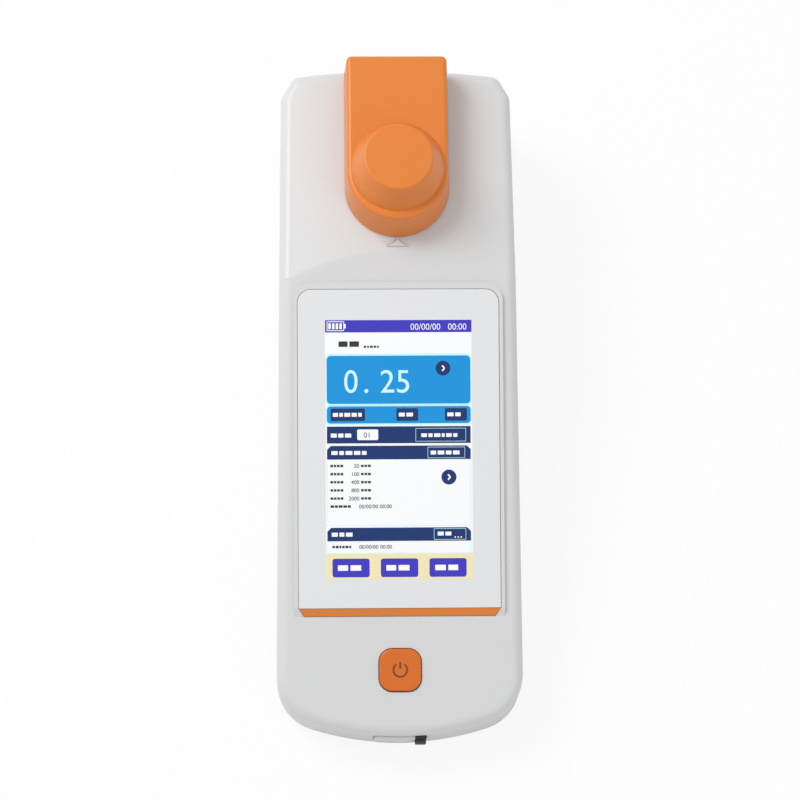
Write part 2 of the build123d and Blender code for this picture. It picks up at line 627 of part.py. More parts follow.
# Base cover: shallow tray with the battery bay, the board's standoffs and the pillars.
BAY_HALF = 2 * CELL_RADIUS + CELL_GAP / 2 + CELL_CLEARANCE
PREAMP_Y = WELL_Y - PREAMP_REACH - OPTIC_BOARD_THICKNESS
BAY_BACK = PREAMP_Y - CONNECTOR_LENGTH - BAY_OPTICS_GAP
BAY_FRONT = BAY_BACK - CELL_LENGTH - 2 * CONTACT_SPACE
BAY_MIDDLE = (BAY_FRONT + BAY_BACK) / 2
BAY_LENGTH = BAY_BACK - BAY_FRONT
CELL_Z = FLOOR_Z + CELL_CLEARANCE + CELL_RADIUS
CELL_PLACES = (-CELL_RADIUS - CELL_GAP / 2, CELL_RADIUS + CELL_GAP / 2)
BAY_TOP = CELL_Z + CELL_RADIUS + CELL_CLEARANCE
DOOR_LENGTH = BAY_LENGTH + 2 * DOOR_MARGIN + DOOR_TAB
DOOR_MIDDLE = BAY_MIDDLE - DOOR_TAB / 2
DOOR_SCREW_Y = BAY_FRONT - DOOR_MARGIN - DOOR_TAB / 2 + FIT
DOOR_SCREWS = [(side * DOOR_SCREW_SPACING / 2, DOOR_SCREW_Y) for side in (-1, 1)]
SCREW_SEAT_Z = PILLAR_HEIGHT - 3.0
BOARD_BACK_Y = DOOR_SCREW_Y - SMALL_BOSS_RADIUS - BOARD_DOOR_GAP
BOARD_HALF = CASE_SCREWS[1][0] - PILLAR_RADIUS - BOARD_SIDE_GAP
STANDOFFS = [
    (side * (BOARD_HALF - STANDOFF_SIDE), y)
    for side in (-1, 1)
    for y in (FRONT_Y + STANDOFF_FRONT, BOARD_BACK_Y - STANDOFF_BACK)
]
with BuildPart() as base_cover:
    add(OUTER)
    add(INNER, mode=Mode.SUBTRACT)
    split(bisect_by=Plane.XY.offset(PARTING_HEIGHT), keep=Keep.BOTTOM)
    # Tongue that stands inside the top cover's wall.
    with BuildSketch(Plane.XY.offset(FLOOR_Z - WALL / 4)):
        add(plan(WALL - TONGUE_WIDTH))
        add(plan(WALL), mode=Mode.SUBTRACT)
    extrude(amount=PARTING_HEIGHT + TONGUE_HEIGHT - FLOOR_Z + WALL / 4)
    # Pillars for the case screws, standoffs for the main board, battery bay.
    with BuildSketch(Plane.XY.offset(FLOOR_Z - WALL / 2)):
        with Locations(*CASE_SCREWS):
            Circle(PILLAR_RADIUS)
    extrude(amount=PILLAR_HEIGHT - FLOOR_Z + WALL / 2)
    with BuildSketch(Plane.XY.offset(FLOOR_Z - WALL / 2)):
        with Locations(*STANDOFFS):
            Circle(STANDOFF_RADIUS)
    extrude(amount=BOARD_HEIGHT - FLOOR_Z + WALL / 2)
    with BuildSketch(Plane.XY.offset(FLOOR_Z - WALL / 4)):
        with Locations((0, BAY_MIDDLE)):
            Rectangle(2 * (BAY_HALF + BAY_WALL), BAY_LENGTH + 2 * BAY_WALL)
        with Locations(*DOOR_SCREWS):
            Circle(SMALL_BOSS_RADIUS)
    extrude(amount=BAY_TOP + BAY_WALL - FLOOR_Z + WALL / 4)
    with BuildSketch(Plane.XY.offset(BOARD_HEIGHT)):
        with Locations(*DOOR_SCREWS):
            Circle(SMALL_BOSS_RADIUS + FIT)
    extrude(amount=BAY_TOP, mode=Mode.SUBTRACT)
    with BuildSketch(Plane.XY.offset(BASE_Z)):
        with Locations((0, BAY_MIDDLE)):
            Rectangle(2 * BAY_HALF, BAY_LENGTH)
    extrude(amount=BAY_TOP - BASE_Z, mode=Mode.SUBTRACT)
    # Low ribs that stiffen the floor on both sides of the bay.
    with BuildSketch(Plane.XY.offset(FLOOR_Z - WALL / 4)):
        for side in (-1, 1):
            with Locations((side * (BAY_HALF + BAY_WALL + 7), BAY_MIDDLE)):
                with GridLocations(1, BAY_LENGTH / 4, 1, 5):
                    Rectangle(14, 1.2)
    extrude(amount=WALL / 4 + 2)
    # Recess for the battery door, counterbores and screw holes, recesses for the feet.
    with BuildSketch(Plane.XY.offset(BASE_Z)):
        with Locations((0, DOOR_MIDDLE)):
            RectangleRounded(
                2 * (BAY_HALF + DOOR_MARGIN), DOOR_LENGTH, radius=DOOR_CORNER_RADIUS
            )
    extrude(amount=DOOR_THICKNESS, mode=Mode.SUBTRACT)
    with BuildSketch(Plane.XY.offset(BASE_Z)):
        with Locations(*CASE_SCREWS):
            Circle(SCREW_HEAD_RADIUS + COUNTERBORE_CLEARANCE)
    extrude(amount=SCREW_SEAT_Z - BASE_Z, mode=Mode.SUBTRACT)
    with BuildSketch(Plane.XY.offset(BASE_Z)):
        with Locations(*CASE_SCREWS):
            Circle(CASE_SCREW_RADIUS + FIT)
    extrude(amount=PILLAR_HEIGHT, mode=Mode.SUBTRACT)
    with BuildSketch(Plane.XY.offset(BASE_Z)):
        with Locations(*FEET):
            Circle(FOOT_RADIUS + FIT)
    extrude(amount=FOOT_RECESS, mode=Mode.SUBTRACT)
    with BuildSketch(Plane.XY.offset(BASE_Z + DOOR_THICKNESS)):
        with Locations(*DOOR_SCREWS):
            Circle(SMALL_SCREW_RADIUS)
    extrude(amount=SMALL_SCREW_LENGTH, mode=Mode.SUBTRACT)
    with BuildSketch(Plane.XY.offset(BOARD_HEIGHT)):
        with Locations(*STANDOFFS):
            Circle(SMALL_SCREW_RADIUS)
    extrude(amount=-(BOARD_HEIGHT - FLOOR_Z), mode=Mode.SUBTRACT)

# Seal in the groove between the two covers.
with BuildPart() as case_seal:
    with BuildSketch(Plane.XY.offset(PARTING_HEIGHT + TONGUE_HEIGHT)):
        add(plan(WALL - TONGUE_WIDTH))
        add(plan(WALL), mode=Mode.SUBTRACT)
    extrude(amount=SEAL_HEIGHT)

# Rubber feet in their recesses.
with BuildPart() as rubber_feet:
    with BuildSketch():
        with Locations(*FEET):
            Circle(FOOT_RADIUS)
    extrude(amount=FOOT_PROUD + FOOT_RECESS)
    chamfer(rubber_feet.faces().group_by(Axis.Z)[0].edges(), length=0.5)

# Battery door with cradle ribs under the cells.
with BuildPart() as battery_door:
    with BuildSketch(Plane.XY.offset(BASE_Z)):
        with Locations((0, DOOR_MIDDLE)):
            RectangleRounded(
                2 * (BAY_HALF + DOOR_MARGIN - DOOR_GAP),
                DOOR_LENGTH - 2 * DOOR_GAP,
                radius=DOOR_CORNER_RADIUS,
            )
    extrude(amount=DOOR_THICKNESS)
    with BuildSketch(Plane.XY.offset(BASE_Z + DOOR_THICKNESS)):
        with Locations((0, BAY_MIDDLE)):
            with GridLocations(1, CELL_LENGTH / 3, 1, 3):
                Rectangle(2 * (BAY_HALF - DOOR_GAP), 1.6)
    extrude(amount=CELL_RADIUS / 2)
    with BuildSketch(Plane.XZ.offset(-BAY_FRONT)):
        with Locations(*[(x, CELL_Z) for x in CELL_PLACES]):
            Circle(CELL_RADIUS + CELL_CLEARANCE / 2)
    extrude(amount=-BAY_LENGTH, mode=Mode.SUBTRACT)
    with Locations(*[(x, y, BASE_Z) for x, y in DOOR_SCREWS]):
        with Locations(Location((0, 0, 0), (180, 0, 0))):
            CounterSinkHole(
                radius=SMALL_SCREW_RADIUS + FIT,
                counter_sink_radius=SMALL_SCREW_HEAD_RADIUS + FIT,
                depth=2 * DOOR_THICKNESS,
            )

# Two cylindrical cells, side by side, with a raised terminal at the head end.
with BuildPart() as battery_cells:
    for x in CELL_PLACES:
        start = BAY_FRONT + CONTACT_SPACE
        with BuildSketch(Plane(origin=(x, start, CELL_Z), z_dir=(0, 1, 0))):
            Circle(CELL_RADIUS)
        extrude(amount=CELL_LENGTH - 1.2)
        with BuildSketch(Plane(origin=(x, start, CELL_Z), z_dir=(0, 1, 0))):
            Circle(CELL_RADIUS / 3)
        extrude(amount=CELL_LENGTH)

# Leaf contacts at both ends of the cells.
with BuildPart() as contact:
    with BuildSketch(Plane.YZ):
        with BuildLine():
            wall_y = BAY_FRONT + CONTACT_THICKNESS / 2
            nose_y = BAY_FRONT + CONTACT_SPACE - CONTACT_THICKNESS
            FilletPolyline(
                (wall_y, CELL_Z - CELL_RADIUS / 2),
                (wall_y, CELL_Z + CELL_RADIUS / 2),
                (nose_y, CELL_Z + CELL_RADIUS / 6),
                (nose_y, CELL_Z - CELL_RADIUS / 6),
                (wall_y + 1.2, CELL_Z - CELL_RADIUS / 3),
                radius=0.5,
            )
        trace(line_width=CONTACT_THICKNESS)
    extrude(amount=CONTACT_WIDTH)
with BuildPart() as battery_contacts:
    with Locations(*[(x - CONTACT_WIDTH / 2, 0, 0) for x in CELL_PLACES]):
        add(contact.part)
    mirror(about=Plane.XZ.offset(-BAY_MIDDLE))


def screw_group(seats, radius, length, head_radius, head_height):
    """Identical screws; each seat is a plane under a screw's head, facing its head."""
    with BuildPart() as group:
        for seat in seats:
            with BuildSketch(seat):
                Circle(head_radius)
            extrude(amount=head_height)
            with BuildSketch(seat):
                Circle(radius)
            extrude(amount=-length)
            with BuildSketch(seat.offset(head_height)):
                RegularPolygon(head_radius / 2, 6)
            extrude(amount=-head_height / 2, mode=Mode.SUBTRACT)
    return group.part


def small_screws(seats, length=SMALL_SCREW_LENGTH):
    return screw_group(
        seats, SMALL_SCREW_RADIUS - 0.05, length, SMALL_SCREW_HEAD_RADIUS, SMALL_SCREW_HEAD_HEIGHT
    )


def seats_on(plane, places, facing=1):
    """Planes at places on a plane; facing -1 turns them to look the other way."""
    return [
        Plane(
            plane.from_local_coords((x, y, 0)), x_dir=plane.x_dir, z_dir=facing * plane.z_dir
        )
        for x, y in places
    ]


case_screws = screw_group(
    seats_on(Plane.XY.offset(SCREW_SEAT_Z), CASE_SCREWS, -1),
    CASE_SCREW_RADIUS - 0.05,
    CASE_SCREW_LENGTH,
    SCREW_HEAD_RADIUS,
    SCREW_HEAD_HEIGHT,
)
main_board_screws = small_screws(
    seats_on(Plane.XY.offset(BOARD_HEIGHT + BOARD_THICKNESS), STANDOFFS)
)
well_screws = small_screws(
    seats_on(Plane.XY.offset(FLANGE_TOP - FLANGE_THICKNESS), FLANGE_SCREWS, -1)
)
bracket_screws = small_screws(
    seats_on(DISPLAY_FACE.offset(BRACKET_TOP - BRACKET_THICKNESS), BRACKET_SCREWS, -1),
    BRACKET_SCREW_LENGTH,
)
button_board_screws = small_screws(
    seats_on(DISPLAY_FACE.offset(BUTTON_BOARD_TOP - BUTTON_BOARD_THICKNESS), BUTTON_SCREWS, -1)
)

# Countersunk door screws, flush with the door.
with BuildPart() as door_screws:
    for x, y in DOOR_SCREWS:
        with BuildSketch(Plane((x, y, BASE_Z), x_dir=(1, 0, 0), z_dir=(0, -1, 0))):
            with BuildLine():
                Polyline(
                    (0, 0.05),
                    (SMALL_SCREW_HEAD_RADIUS, 0.05),
                    (SMALL_SCREW_RADIUS - 0.05, SMALL_SCREW_HEAD_RADIUS - SMALL_SCREW_RADIUS + 0.1),
                    (SMALL_SCREW_RADIUS - 0.05, SMALL_SCREW_LENGTH),
                    (0, SMALL_SCREW_LENGTH),
                    close=True,
                )
            make_face()
        revolve(axis=Axis((x, y, 0), (0, 0, 1)))

# Brass inserts in the top cover's bosses.
with BuildPart() as threaded_inserts:
    with BuildSketch(Plane.XY.offset(PILLAR_HEIGHT)):
        with Locations(*CASE_SCREWS):
            Circle(INSERT_RADIUS)
        with Locations(*CASE_SCREWS):
            Circle(CASE_SCREW_RADIUS, mode=Mode.SUBTRACT)
    extrude(amount=INSERT_LENGTH)

# Cover lens: flush with the platform, round at the top corners, square at the bottom.
with BuildPart() as screen_lens:
    with BuildSketch(DISPLAY_FACE.offset(PLATFORM_RISE)) as lens_outline:
        with Locations((0, -(LENS_START + LENS_END) / 2)):
            Rectangle(LENS_WIDTH, LENS_END - LENS_START)
        fillet(lens_outline.vertices().group_by(Axis.Y)[-1], radius=LENS_CORNER_RADIUS)
    extrude(amount=TAPE_THICKNESS - LENS_THICKNESS)
    chamfer(screen_lens.faces().sort_by(Axis.Z)[-1].edges(), length=0.2)

# Adhesive frame between the lens and the ledge of the window.
with BuildPart() as lens_tape:
    with BuildSketch(DISPLAY_FACE.offset(PLATFORM_RISE - LENS_THICKNESS)) as tape:
        with Locations((0, -(LENS_START + LENS_END) / 2)):
            Rectangle(LENS_WIDTH - 2, LENS_END - LENS_START - 2)
        fillet(tape.vertices().group_by(Axis.Y)[-1], radius=LENS_CORNER_RADIUS - 1)
        with Locations((0, -DISPLAY_CENTRE)):
            Rectangle(WINDOW_WIDTH, WINDOW_LENGTH, mode=Mode.SUBTRACT)
    extrude(amount=TAPE_THICKNESS)

# Accent strip: a bar with mitred ends that slopes from the lens down to the face.
with BuildPart() as accent_strip:
    with BuildSketch(DISPLAY_FACE.offset(-STRIP_DEPTH)):
        with BuildLine():
            inner_end = LENS_WIDTH / 2 - FIT
            Polyline(
                (-inner_end, -LENS_END - FIT),
                (inner_end, -LENS_END - FIT),
                (inner_end - STRIP_MITRE, FIT - PLATFORM_END),
                (STRIP_MITRE - inner_end, FIT - PLATFORM_END),
                close=True,
            )
        make_face()
    extrude(amount=STRIP_DEPTH + PLATFORM_RISE)
    with BuildSketch(FACE_SIDE):
        with BuildLine():
            Polyline(
                (LENS_END, PLATFORM_RISE),
                (PLATFORM_END, STRIP_PROUD),
                (PLATFORM_END + WALL, STRIP_PROUD),
                (PLATFORM_END + WALL, 2 * PLATFORM_RISE),
                (LENS_END, 2 * PLATFORM_RISE),
                close=True,
            )
        make_face()
    extrude(amount=PLATFORM_WIDTH, both=True, mode=Mode.SUBTRACT)

# Display module: metal-backed body with a raised glass that shows in the window.
with BuildPart() as display_module:
    with BuildSketch(DISPLAY_FACE.offset(LEDGE_UNDERSIDE)):
        with Locations((0, -DISPLAY_CENTRE)):
            RectangleRounded(DISPLAY_WIDTH, DISPLAY_LENGTH, radius=0.8)
    extrude(amount=-DISPLAY_THICKNESS)
    with BuildSketch(DISPLAY_FACE.offset(LEDGE_UNDERSIDE)):
        with Locations((0, -DISPLAY_CENTRE)):
            Rectangle(WINDOW_WIDTH - 2, WINDOW_LENGTH - 2)
    extrude(amount=LEDGE_THICKNESS / 3)

# Sheet bracket that presses the display against the top cover.
RIBBON_SLOT = DISPLAY_CENTRE + DISPLAY_LENGTH / 2 - RIBBON_FROM_END
with BuildPart() as display_bracket:
    with BuildSketch(DISPLAY_FACE.offset(BRACKET_TOP)):
        with Locations((0, -DISPLAY_CENTRE)):
            RectangleRounded(
                BRACKET_SCREW_SPACING + 3 * SMALL_BOSS_RADIUS,
                DISPLAY_LENGTH + 2 * BRACKET_SCREW_MARGIN + 2 * SMALL_BOSS_RADIUS,
                radius=SMALL_BOSS_RADIUS,
            )
            with GridLocations(BRACKET_SCREW_SPACING / 2, DISPLAY_LENGTH / 3, 2, 2):
                RectangleRounded(
                    BRACKET_SCREW_SPACING / 3, DISPLAY_LENGTH / 5, radius=2, mode=Mode.SUBTRACT
                )
        with Locations((0, -RIBBON_SLOT)):
            Rectangle(RIBBON_WIDTH + 4, 5, mode=Mode.SUBTRACT)
        with Locations(*BRACKET_SCREWS):
            Circle(SMALL_SCREW_RADIUS + FIT, mode=Mode.SUBTRACT)
    extrude(amount=-BRACKET_THICKNESS)

# Power button: rounded square cap with a shallow dish, a flange and a stem.
with BuildPart() as power_button:
    with BuildSketch(DISPLAY_FACE.offset(BUTTON_FLANGE_TOP - BUTTON_FLANGE_HEIGHT)):
        with Locations((0, -BUTTON_POSITION)):
            RectangleRounded(BUTTON_WIDTH, BUTTON_WIDTH, radius=BUTTON_CORNER_RADIUS)
    extrude(amount=BUTTON_PROUD - BUTTON_FLANGE_TOP + BUTTON_FLANGE_HEIGHT)
    fillet(power_button.faces().sort_by(Axis.Z)[-1].edges(), radius=BUTTON_EDGE_RADIUS)
    with BuildSketch(DISPLAY_FACE.offset(BUTTON_FLANGE_TOP)):
        with Locations((0, -BUTTON_POSITION)):
            RectangleRounded(
                BUTTON_WIDTH + 2 * BUTTON_FLANGE_WIDTH,
                BUTTON_WIDTH + 2 * BUTTON_FLANGE_WIDTH,
                radius=BUTTON_CORNER_RADIUS + BUTTON_FLANGE_WIDTH,
            )
    extrude(amount=-BUTTON_FLANGE_HEIGHT)
    with BuildSketch(DISPLAY_FACE.offset(STEM_END)):
        with Locations((0, -BUTTON_POSITION)):
            Circle(STEM_RADIUS)
    extrude(amount=STEM_LENGTH)
    dish_chord = BUTTON_WIDTH / 2 - 1.6
    dish_radius = dish_chord**2 / (2 * BUTTON_DISH_DEPTH)
    dish_centre = DISPLAY_FACE.from_local_coords(
        (0, -BUTTON_POSITION, BUTTON_PROUD - BUTTON_DISH_DEPTH + dish_radius)
    )
    with Locations(dish_centre):
        Sphere(dish_radius, mode=Mode.SUBTRACT)

# Button board with its switch.
with BuildPart() as button_board:
    with BuildSketch(DISPLAY_FACE.offset(BUTTON_BOARD_TOP)):
        with Locations((0, -BUTTON_POSITION)):
            RectangleRounded(BUTTON_BOARD_WIDTH, BUTTON_BOARD_LENGTH, radius=1)
        with Locations(*BUTTON_SCREWS):
            Circle(SMALL_SCREW_RADIUS + FIT, mode=Mode.SUBTRACT)
    extrude(amount=-BUTTON_BOARD_THICKNESS)
with BuildPart() as button_switch:
    with BuildSketch(DISPLAY_FACE.offset(BUTTON_BOARD_TOP)):
        with Locations((0, -BUTTON_POSITION)):
            Rectangle(SWITCH_WIDTH, SWITCH_WIDTH)
    extrude(amount=SWITCH_HEIGHT)
    with BuildSketch(DISPLAY_FACE.offset(BUTTON_BOARD_TOP + SWITCH_HEIGHT)):
        with Locations((0, -BUTTON_POSITION)):
            Circle(PLUNGER_RADIUS)
    extrude(amount=PLUNGER_HEIGHT)

# Main board, cut to the shape of the front wall.
BOARD_TOP = BOARD_HEIGHT + BOARD_THICKNESS
with BuildPart() as main_board:
    with BuildSketch(Plane.XY.offset(BOARD_HEIGHT)):
        add(plan(BOARD_INSET))
        with Locations((0, (FRONT_Y + BOARD_BACK_Y) / 2)):
            Rectangle(2 * BOARD_HALF, BOARD_BACK_Y - FRONT_Y, mode=Mode.INTERSECT)
        with Locations(*STANDOFFS):
            Circle(SMALL_SCREW_RADIUS + FIT, mode=Mode.SUBTRACT)
    extrude(amount=BOARD_THICKNESS)

# Chips, connectors and buzzer on the main board, placed by the two ribbon connectors.
SENSOR_PLUG_Y = BOARD_BACK_Y - SENSOR_PLUG_BACK
RIBBON_PLUG_Y = SENSOR_PLUG_Y - CONNECTOR_LENGTH - RIBBON_PLUG_GAP
BETWEEN_PLUGS = (RIBBON_PLUG_Y + SENSOR_PLUG_Y) / 2
CHIP_SPAN = RIBBON_PLUG_Y - FRONT_Y
with BuildPart() as board_chips:
    with BuildSketch(Plane.XY.offset(BOARD_TOP)):
        with Locations((0, FRONT_Y + CHIP_PLACE * CHIP_SPAN)):
            Rectangle(CHIP_WIDTH, CHIP_LENGTH * CHIP_SPAN)
        with Locations(*[(-SIDE_CHIP_X, FRONT_Y + p * CHIP_SPAN) for p in SIDE_CHIP_PLACES]):
            Rectangle(SIDE_CHIP_WIDTH, SIDE_CHIP_LENGTH * CHIP_SPAN)
        with Locations((SIDE_CHIP_X, FRONT_Y + CHIP_PLACE * CHIP_SPAN)):
            Rectangle(MEMORY_CHIP_WIDTH, MEMORY_CHIP_LENGTH * CHIP_SPAN)
    extrude(amount=CHIP_HEIGHT)
with BuildPart() as board_connectors:
    with BuildSketch(Plane.XY.offset(BOARD_TOP)):
        with Locations((0, RIBBON_PLUG_Y)):
            Rectangle(RIBBON_WIDTH + 2 * CONNECTOR_SIDE, CONNECTOR_LENGTH)
        with Locations((0, SENSOR_PLUG_Y)):
            Rectangle(SENSOR_RIBBON_WIDTH + 2 * CONNECTOR_SIDE, CONNECTOR_LENGTH)
        with Locations((BUZZER_X, BETWEEN_PLUGS)):
            Rectangle(BATTERY_PLUG_WIDTH, BATTERY_PLUG_LENGTH)
    extrude(amount=CONNECTOR_HEIGHT)
with BuildPart() as buzzer:
    with BuildSketch(Plane.XY.offset(BOARD_TOP)):
        with Locations((-BUZZER_X, BETWEEN_PLUGS)):
            Circle(BUZZER_RADIUS)
    extrude(amount=BUZZER_HEIGHT)
    with BuildSketch(Plane.XY.offset(BOARD_TOP + BUZZER_HEIGHT)):
        with Locations((-BUZZER_X, BETWEEN_PLUGS)):
            Circle(BUZZER_RADIUS / 5)
    extrude(amount=-BUZZER_HEIGHT / 2, mode=Mode.SUBTRACT)

# Charging socket at the board's front edge.
SOCKET_Y = FRONT_Y + PORT_BLOCK_DEPTH + FIT
with BuildPart() as usb_socket:
    with BuildSketch(Plane.XZ.offset(-SOCKET_Y)):
        with Locations((0, PORT_CENTRE_Z)):
            RectangleRounded(SOCKET_WIDTH, SOCKET_HEIGHT, radius=SOCKET_HEIGHT / 2 - 0.1)
            RectangleRounded(
                SOCKET_WIDTH - 2 * SOCKET_WALL,
                SOCKET_HEIGHT - 2 * SOCKET_WALL,
                radius=SOCKET_HEIGHT / 2 - 0.1 - SOCKET_WALL,
                mode=Mode.SUBTRACT,
            )
    extrude(amount=-SOCKET_LENGTH)
    with BuildSketch(Plane.XZ.offset(-SOCKET_Y - SOCKET_LENGTH)):
        with Locations((0, PORT_CENTRE_Z)):
            RectangleRounded(SOCKET_WIDTH, SOCKET_HEIGHT, radius=SOCKET_HEIGHT / 2 - 0.1)
    extrude(amount=1.2)
    with BuildSketch(Plane.XZ.offset(-SOCKET_Y - SOCKET_LENGTH)):
        with Locations((0, PORT_CENTRE_Z)):
            Rectangle(SOCKET_WIDTH - 2.3, 0.7)
    extrude(amount=SOCKET_LENGTH - 0.8)


def face_point(down, height):
    """Point of the side view, (y, z), at a distance down the display face."""
    place = DISPLAY_FACE.from_local_coords((0, -down, height))
    return (place.Y, place.Z)


# Flat ribbons from the display and from the optics to the main board. The display's ribbon
# runs under the bracket, then drops to its connector.
RIBBON_LINE_Z = BOARD_TOP + CONNECTOR_HEIGHT / 2
with BuildPart() as display_ribbon:
    with BuildSketch(Plane.YZ):
        with BuildLine():
            plug_y = RIBBON_PLUG_Y + CONNECTOR_LENGTH / 2 + RUN_OUT
            drop = (CREASE_Y - plug_y - RIBBON_RUN) / cos(FALL) + BRACKET_TOP * tan(FALL)
            FilletPolyline(
                face_point(RIBBON_SLOT, BRACKET_TOP - RUN_OUT),
                face_point(RIBBON_SLOT, BRACKET_TOP - RIBBON_DROP),
                face_point(drop, BRACKET_TOP - RIBBON_DROP),
                (plug_y + RIBBON_RUN, RIBBON_LINE_Z),
                (plug_y, RIBBON_LINE_Z),
                radius=RIBBON_BEND,
            )
        trace(line_width=RIBBON_THICKNESS)
    extrude(amount=RIBBON_WIDTH / 2, both=True)
SENSOR_LINE_Z = BAY_TOP + BAY_WALL + SENSOR_RIBBON_RISE
with BuildPart() as sensor_ribbon:
    with BuildSketch(Plane.YZ):
        with BuildLine():
            plug_y = SENSOR_PLUG_Y + CONNECTOR_LENGTH / 2 + RUN_OUT
            FilletPolyline(
                (PREAMP_Y - CONNECTOR_LENGTH - RUN_OUT, SENSOR_LINE_Z),
                (plug_y + RIBBON_RUN, SENSOR_LINE_Z),
                (plug_y + RIBBON_RUN, RIBBON_LINE_Z),
                (plug_y, RIBBON_LINE_Z),
                radius=RIBBON_BEND,
            )
        trace(line_width=RIBBON_THICKNESS)
    extrude(amount=SENSOR_RIBBON_WIDTH / 2, both=True)


def port_plane(direction, reach):
    """Plane square to one of the well's light ports, at a distance from its axis."""
    dx, dy = direction
    return Plane(
        origin=(dx * reach, WELL_Y + dy * reach, BEAM_HEIGHT),
        x_dir=(-dy, dx, 0),
        z_dir=(dx, dy, 0),
    )


LAMP_SIDE = (-1, 0)
THROUGH_SIDE = (1, 0)
SCATTER_SIDE = (0, 1)
PORT_SIDES = (LAMP_SIDE, THROUGH_SIDE, SCATTER_SIDE)
PORT_SCREWS = [(s * PORT_SCREW_SPACING / 2, s * PORT_SCREW_SPACING / 2) for s in (-1, 1)]
PREAMP_FACE = port_plane((0, -1), PREAMP_REACH)
PREAMP_SCREWS = [(s * PREAMP_POST_SPACING / 2, 0) for s in (-1, 1)]
LENS_SEAT = WELL_RADIUS + WELL_WALL

# Collar of the well: the flange under the head and the ring that stands up through it.
with BuildPart() as well_collar:
    with BuildSketch(Plane.XY.offset(FLANGE_TOP)):
        with Locations((0, WELL_Y)):
            RectangleRounded(FLANGE_WIDTH, FLANGE_WIDTH, radius=FLANGE_CORNER_RADIUS)
        with Locations(*FLANGE_SCREWS):
            Circle(SMALL_SCREW_RADIUS + FIT, mode=Mode.SUBTRACT)
    extrude(amount=-FLANGE_THICKNESS)
    with BuildSketch(Plane.XY.offset(FLANGE_TOP)):
        with Locations((0, WELL_Y)):
            Circle(COLLAR_RADIUS)
    extrude(amount=FLANGE_DROP + COLLAR_HEIGHT)
    with BuildSketch(Plane.XY.offset(FLANGE_TOP - FLANGE_THICKNESS)):
        with Locations((0, WELL_Y)):
            Circle(WELL_RADIUS)
    extrude(amount=HEAD_HEIGHT, mode=Mode.SUBTRACT)

# Vial well: black cell holder with three light ports, bonded under its collar.
with BuildPart() as vial_well:
    with BuildSketch(Plane.XY.offset(WELL_BOTTOM)):
        with Locations((0, WELL_Y)):
            Circle(WELL_RADIUS + WELL_WALL)
    extrude(amount=FLANGE_TOP - FLANGE_THICKNESS - WELL_BOTTOM)
    for side in PORT_SIDES:
        with BuildSketch(port_plane(side, PORT_REACH)):
            Circle(PORT_BOSS_RADIUS)
        extrude(amount=-PORT_REACH + WELL_RADIUS)
        with BuildSketch(port_plane(side, PORT_REACH)):
            RectangleRounded(PORT_PAD_WIDTH, PORT_PAD_WIDTH, radius=1.5)
        extrude(amount=-PORT_PAD_THICKNESS)
    for x, y in PREAMP_SCREWS:
        with BuildSketch(PREAMP_FACE):
            with Locations((x, y)):
                Circle(SMALL_BOSS_RADIUS)
        extrude(amount=-PREAMP_REACH / 2)
    for side in PORT_SIDES:
        with BuildSketch(port_plane(side, PORT_REACH)):
            Circle(PORT_RADIUS)
        extrude(amount=LENS_SEAT - PORT_REACH, mode=Mode.SUBTRACT)
        with BuildSketch(port_plane(side, PORT_REACH)):
            Circle(BEAM_RADIUS)
        extrude(amount=-PORT_REACH, mode=Mode.SUBTRACT)
        with BuildSketch(port_plane(side, PORT_REACH)):
            with Locations(*PORT_SCREWS):
                Circle(SMALL_SCREW_RADIUS)
        extrude(amount=-PORT_PAD_THICKNESS, mode=Mode.SUBTRACT)
    with BuildSketch(PREAMP_FACE):
        with Locations(*PREAMP_SCREWS):
            Circle(SMALL_SCREW_RADIUS)
    extrude(amount=-SMALL_SCREW_LENGTH, mode=Mode.SUBTRACT)
    with BuildSketch(Plane.XY.offset(WELL_BOTTOM + WELL_FLOOR)):
        with Locations((0, WELL_Y)):
            Circle(WELL_RADIUS)
    extrude(amount=HEAD_HEIGHT, mode=Mode.SUBTRACT)

# Seal between the flange and the underside of the head.
with BuildPart() as well_seal:
    with BuildSketch(Plane.XY.offset(FLANGE_TOP)):
        with Locations((0, WELL_Y)):
            Circle(COLLAR_RADIUS + 0.5 + WELL_SEAL_WIDTH)
            Circle(COLLAR_RADIUS + 0.5, mode=Mode.SUBTRACT)
    extrude(amount=WELL_SEAL_HEIGHT)


def optic_board(side):
    with BuildPart() as board:
        with BuildSketch(port_plane(side, PORT_REACH)):
            RectangleRounded(PORT_PAD_WIDTH, PORT_PAD_WIDTH, radius=1)
            with Locations(*PORT_SCREWS):
                Circle(SMALL_SCREW_RADIUS + FIT, mode=Mode.SUBTRACT)
        extrude(amount=OPTIC_BOARD_THICKNESS)
    return board.part


def detector(side):
    """Photodiode can with a rim, standing on its board and looking at the well."""
    with BuildPart() as can:
        with BuildSketch(port_plane(side, PORT_REACH)):
            Circle(DETECTOR_RADIUS)
        extrude(amount=-DETECTOR_LENGTH)
        with BuildSketch(port_plane(side, PORT_REACH)):
            Circle(DETECTOR_RADIUS + 0.3)
        extrude(amount=-0.6)
        with BuildSketch(port_plane(side, PORT_REACH - DETECTOR_LENGTH)):
            Circle(DETECTOR_RADIUS * 0.7)
        extrude(amount=0.4, mode=Mode.SUBTRACT)
    return can.part


def port_lens(side):
    """Flat-backed lens on the step of its port, its round side towards the board."""
    with BuildPart() as lens:
        with BuildSketch(port_plane(side, LENS_SEAT)):
            Circle(OPTIC_LENS_RADIUS)
        extrude(amount=OPTIC_LENS_THICKNESS)
        bulge = OPTIC_LENS_THICKNESS - OPTIC_LENS_EDGE
        ball = (OPTIC_LENS_RADIUS**2 + bulge**2) / (2 * bulge)
        centre = port_plane(side, LENS_SEAT + OPTIC_LENS_THICKNESS - ball).origin
        with Locations(centre):
            Sphere(ball, mode=Mode.INTERSECT)
    return lens.part


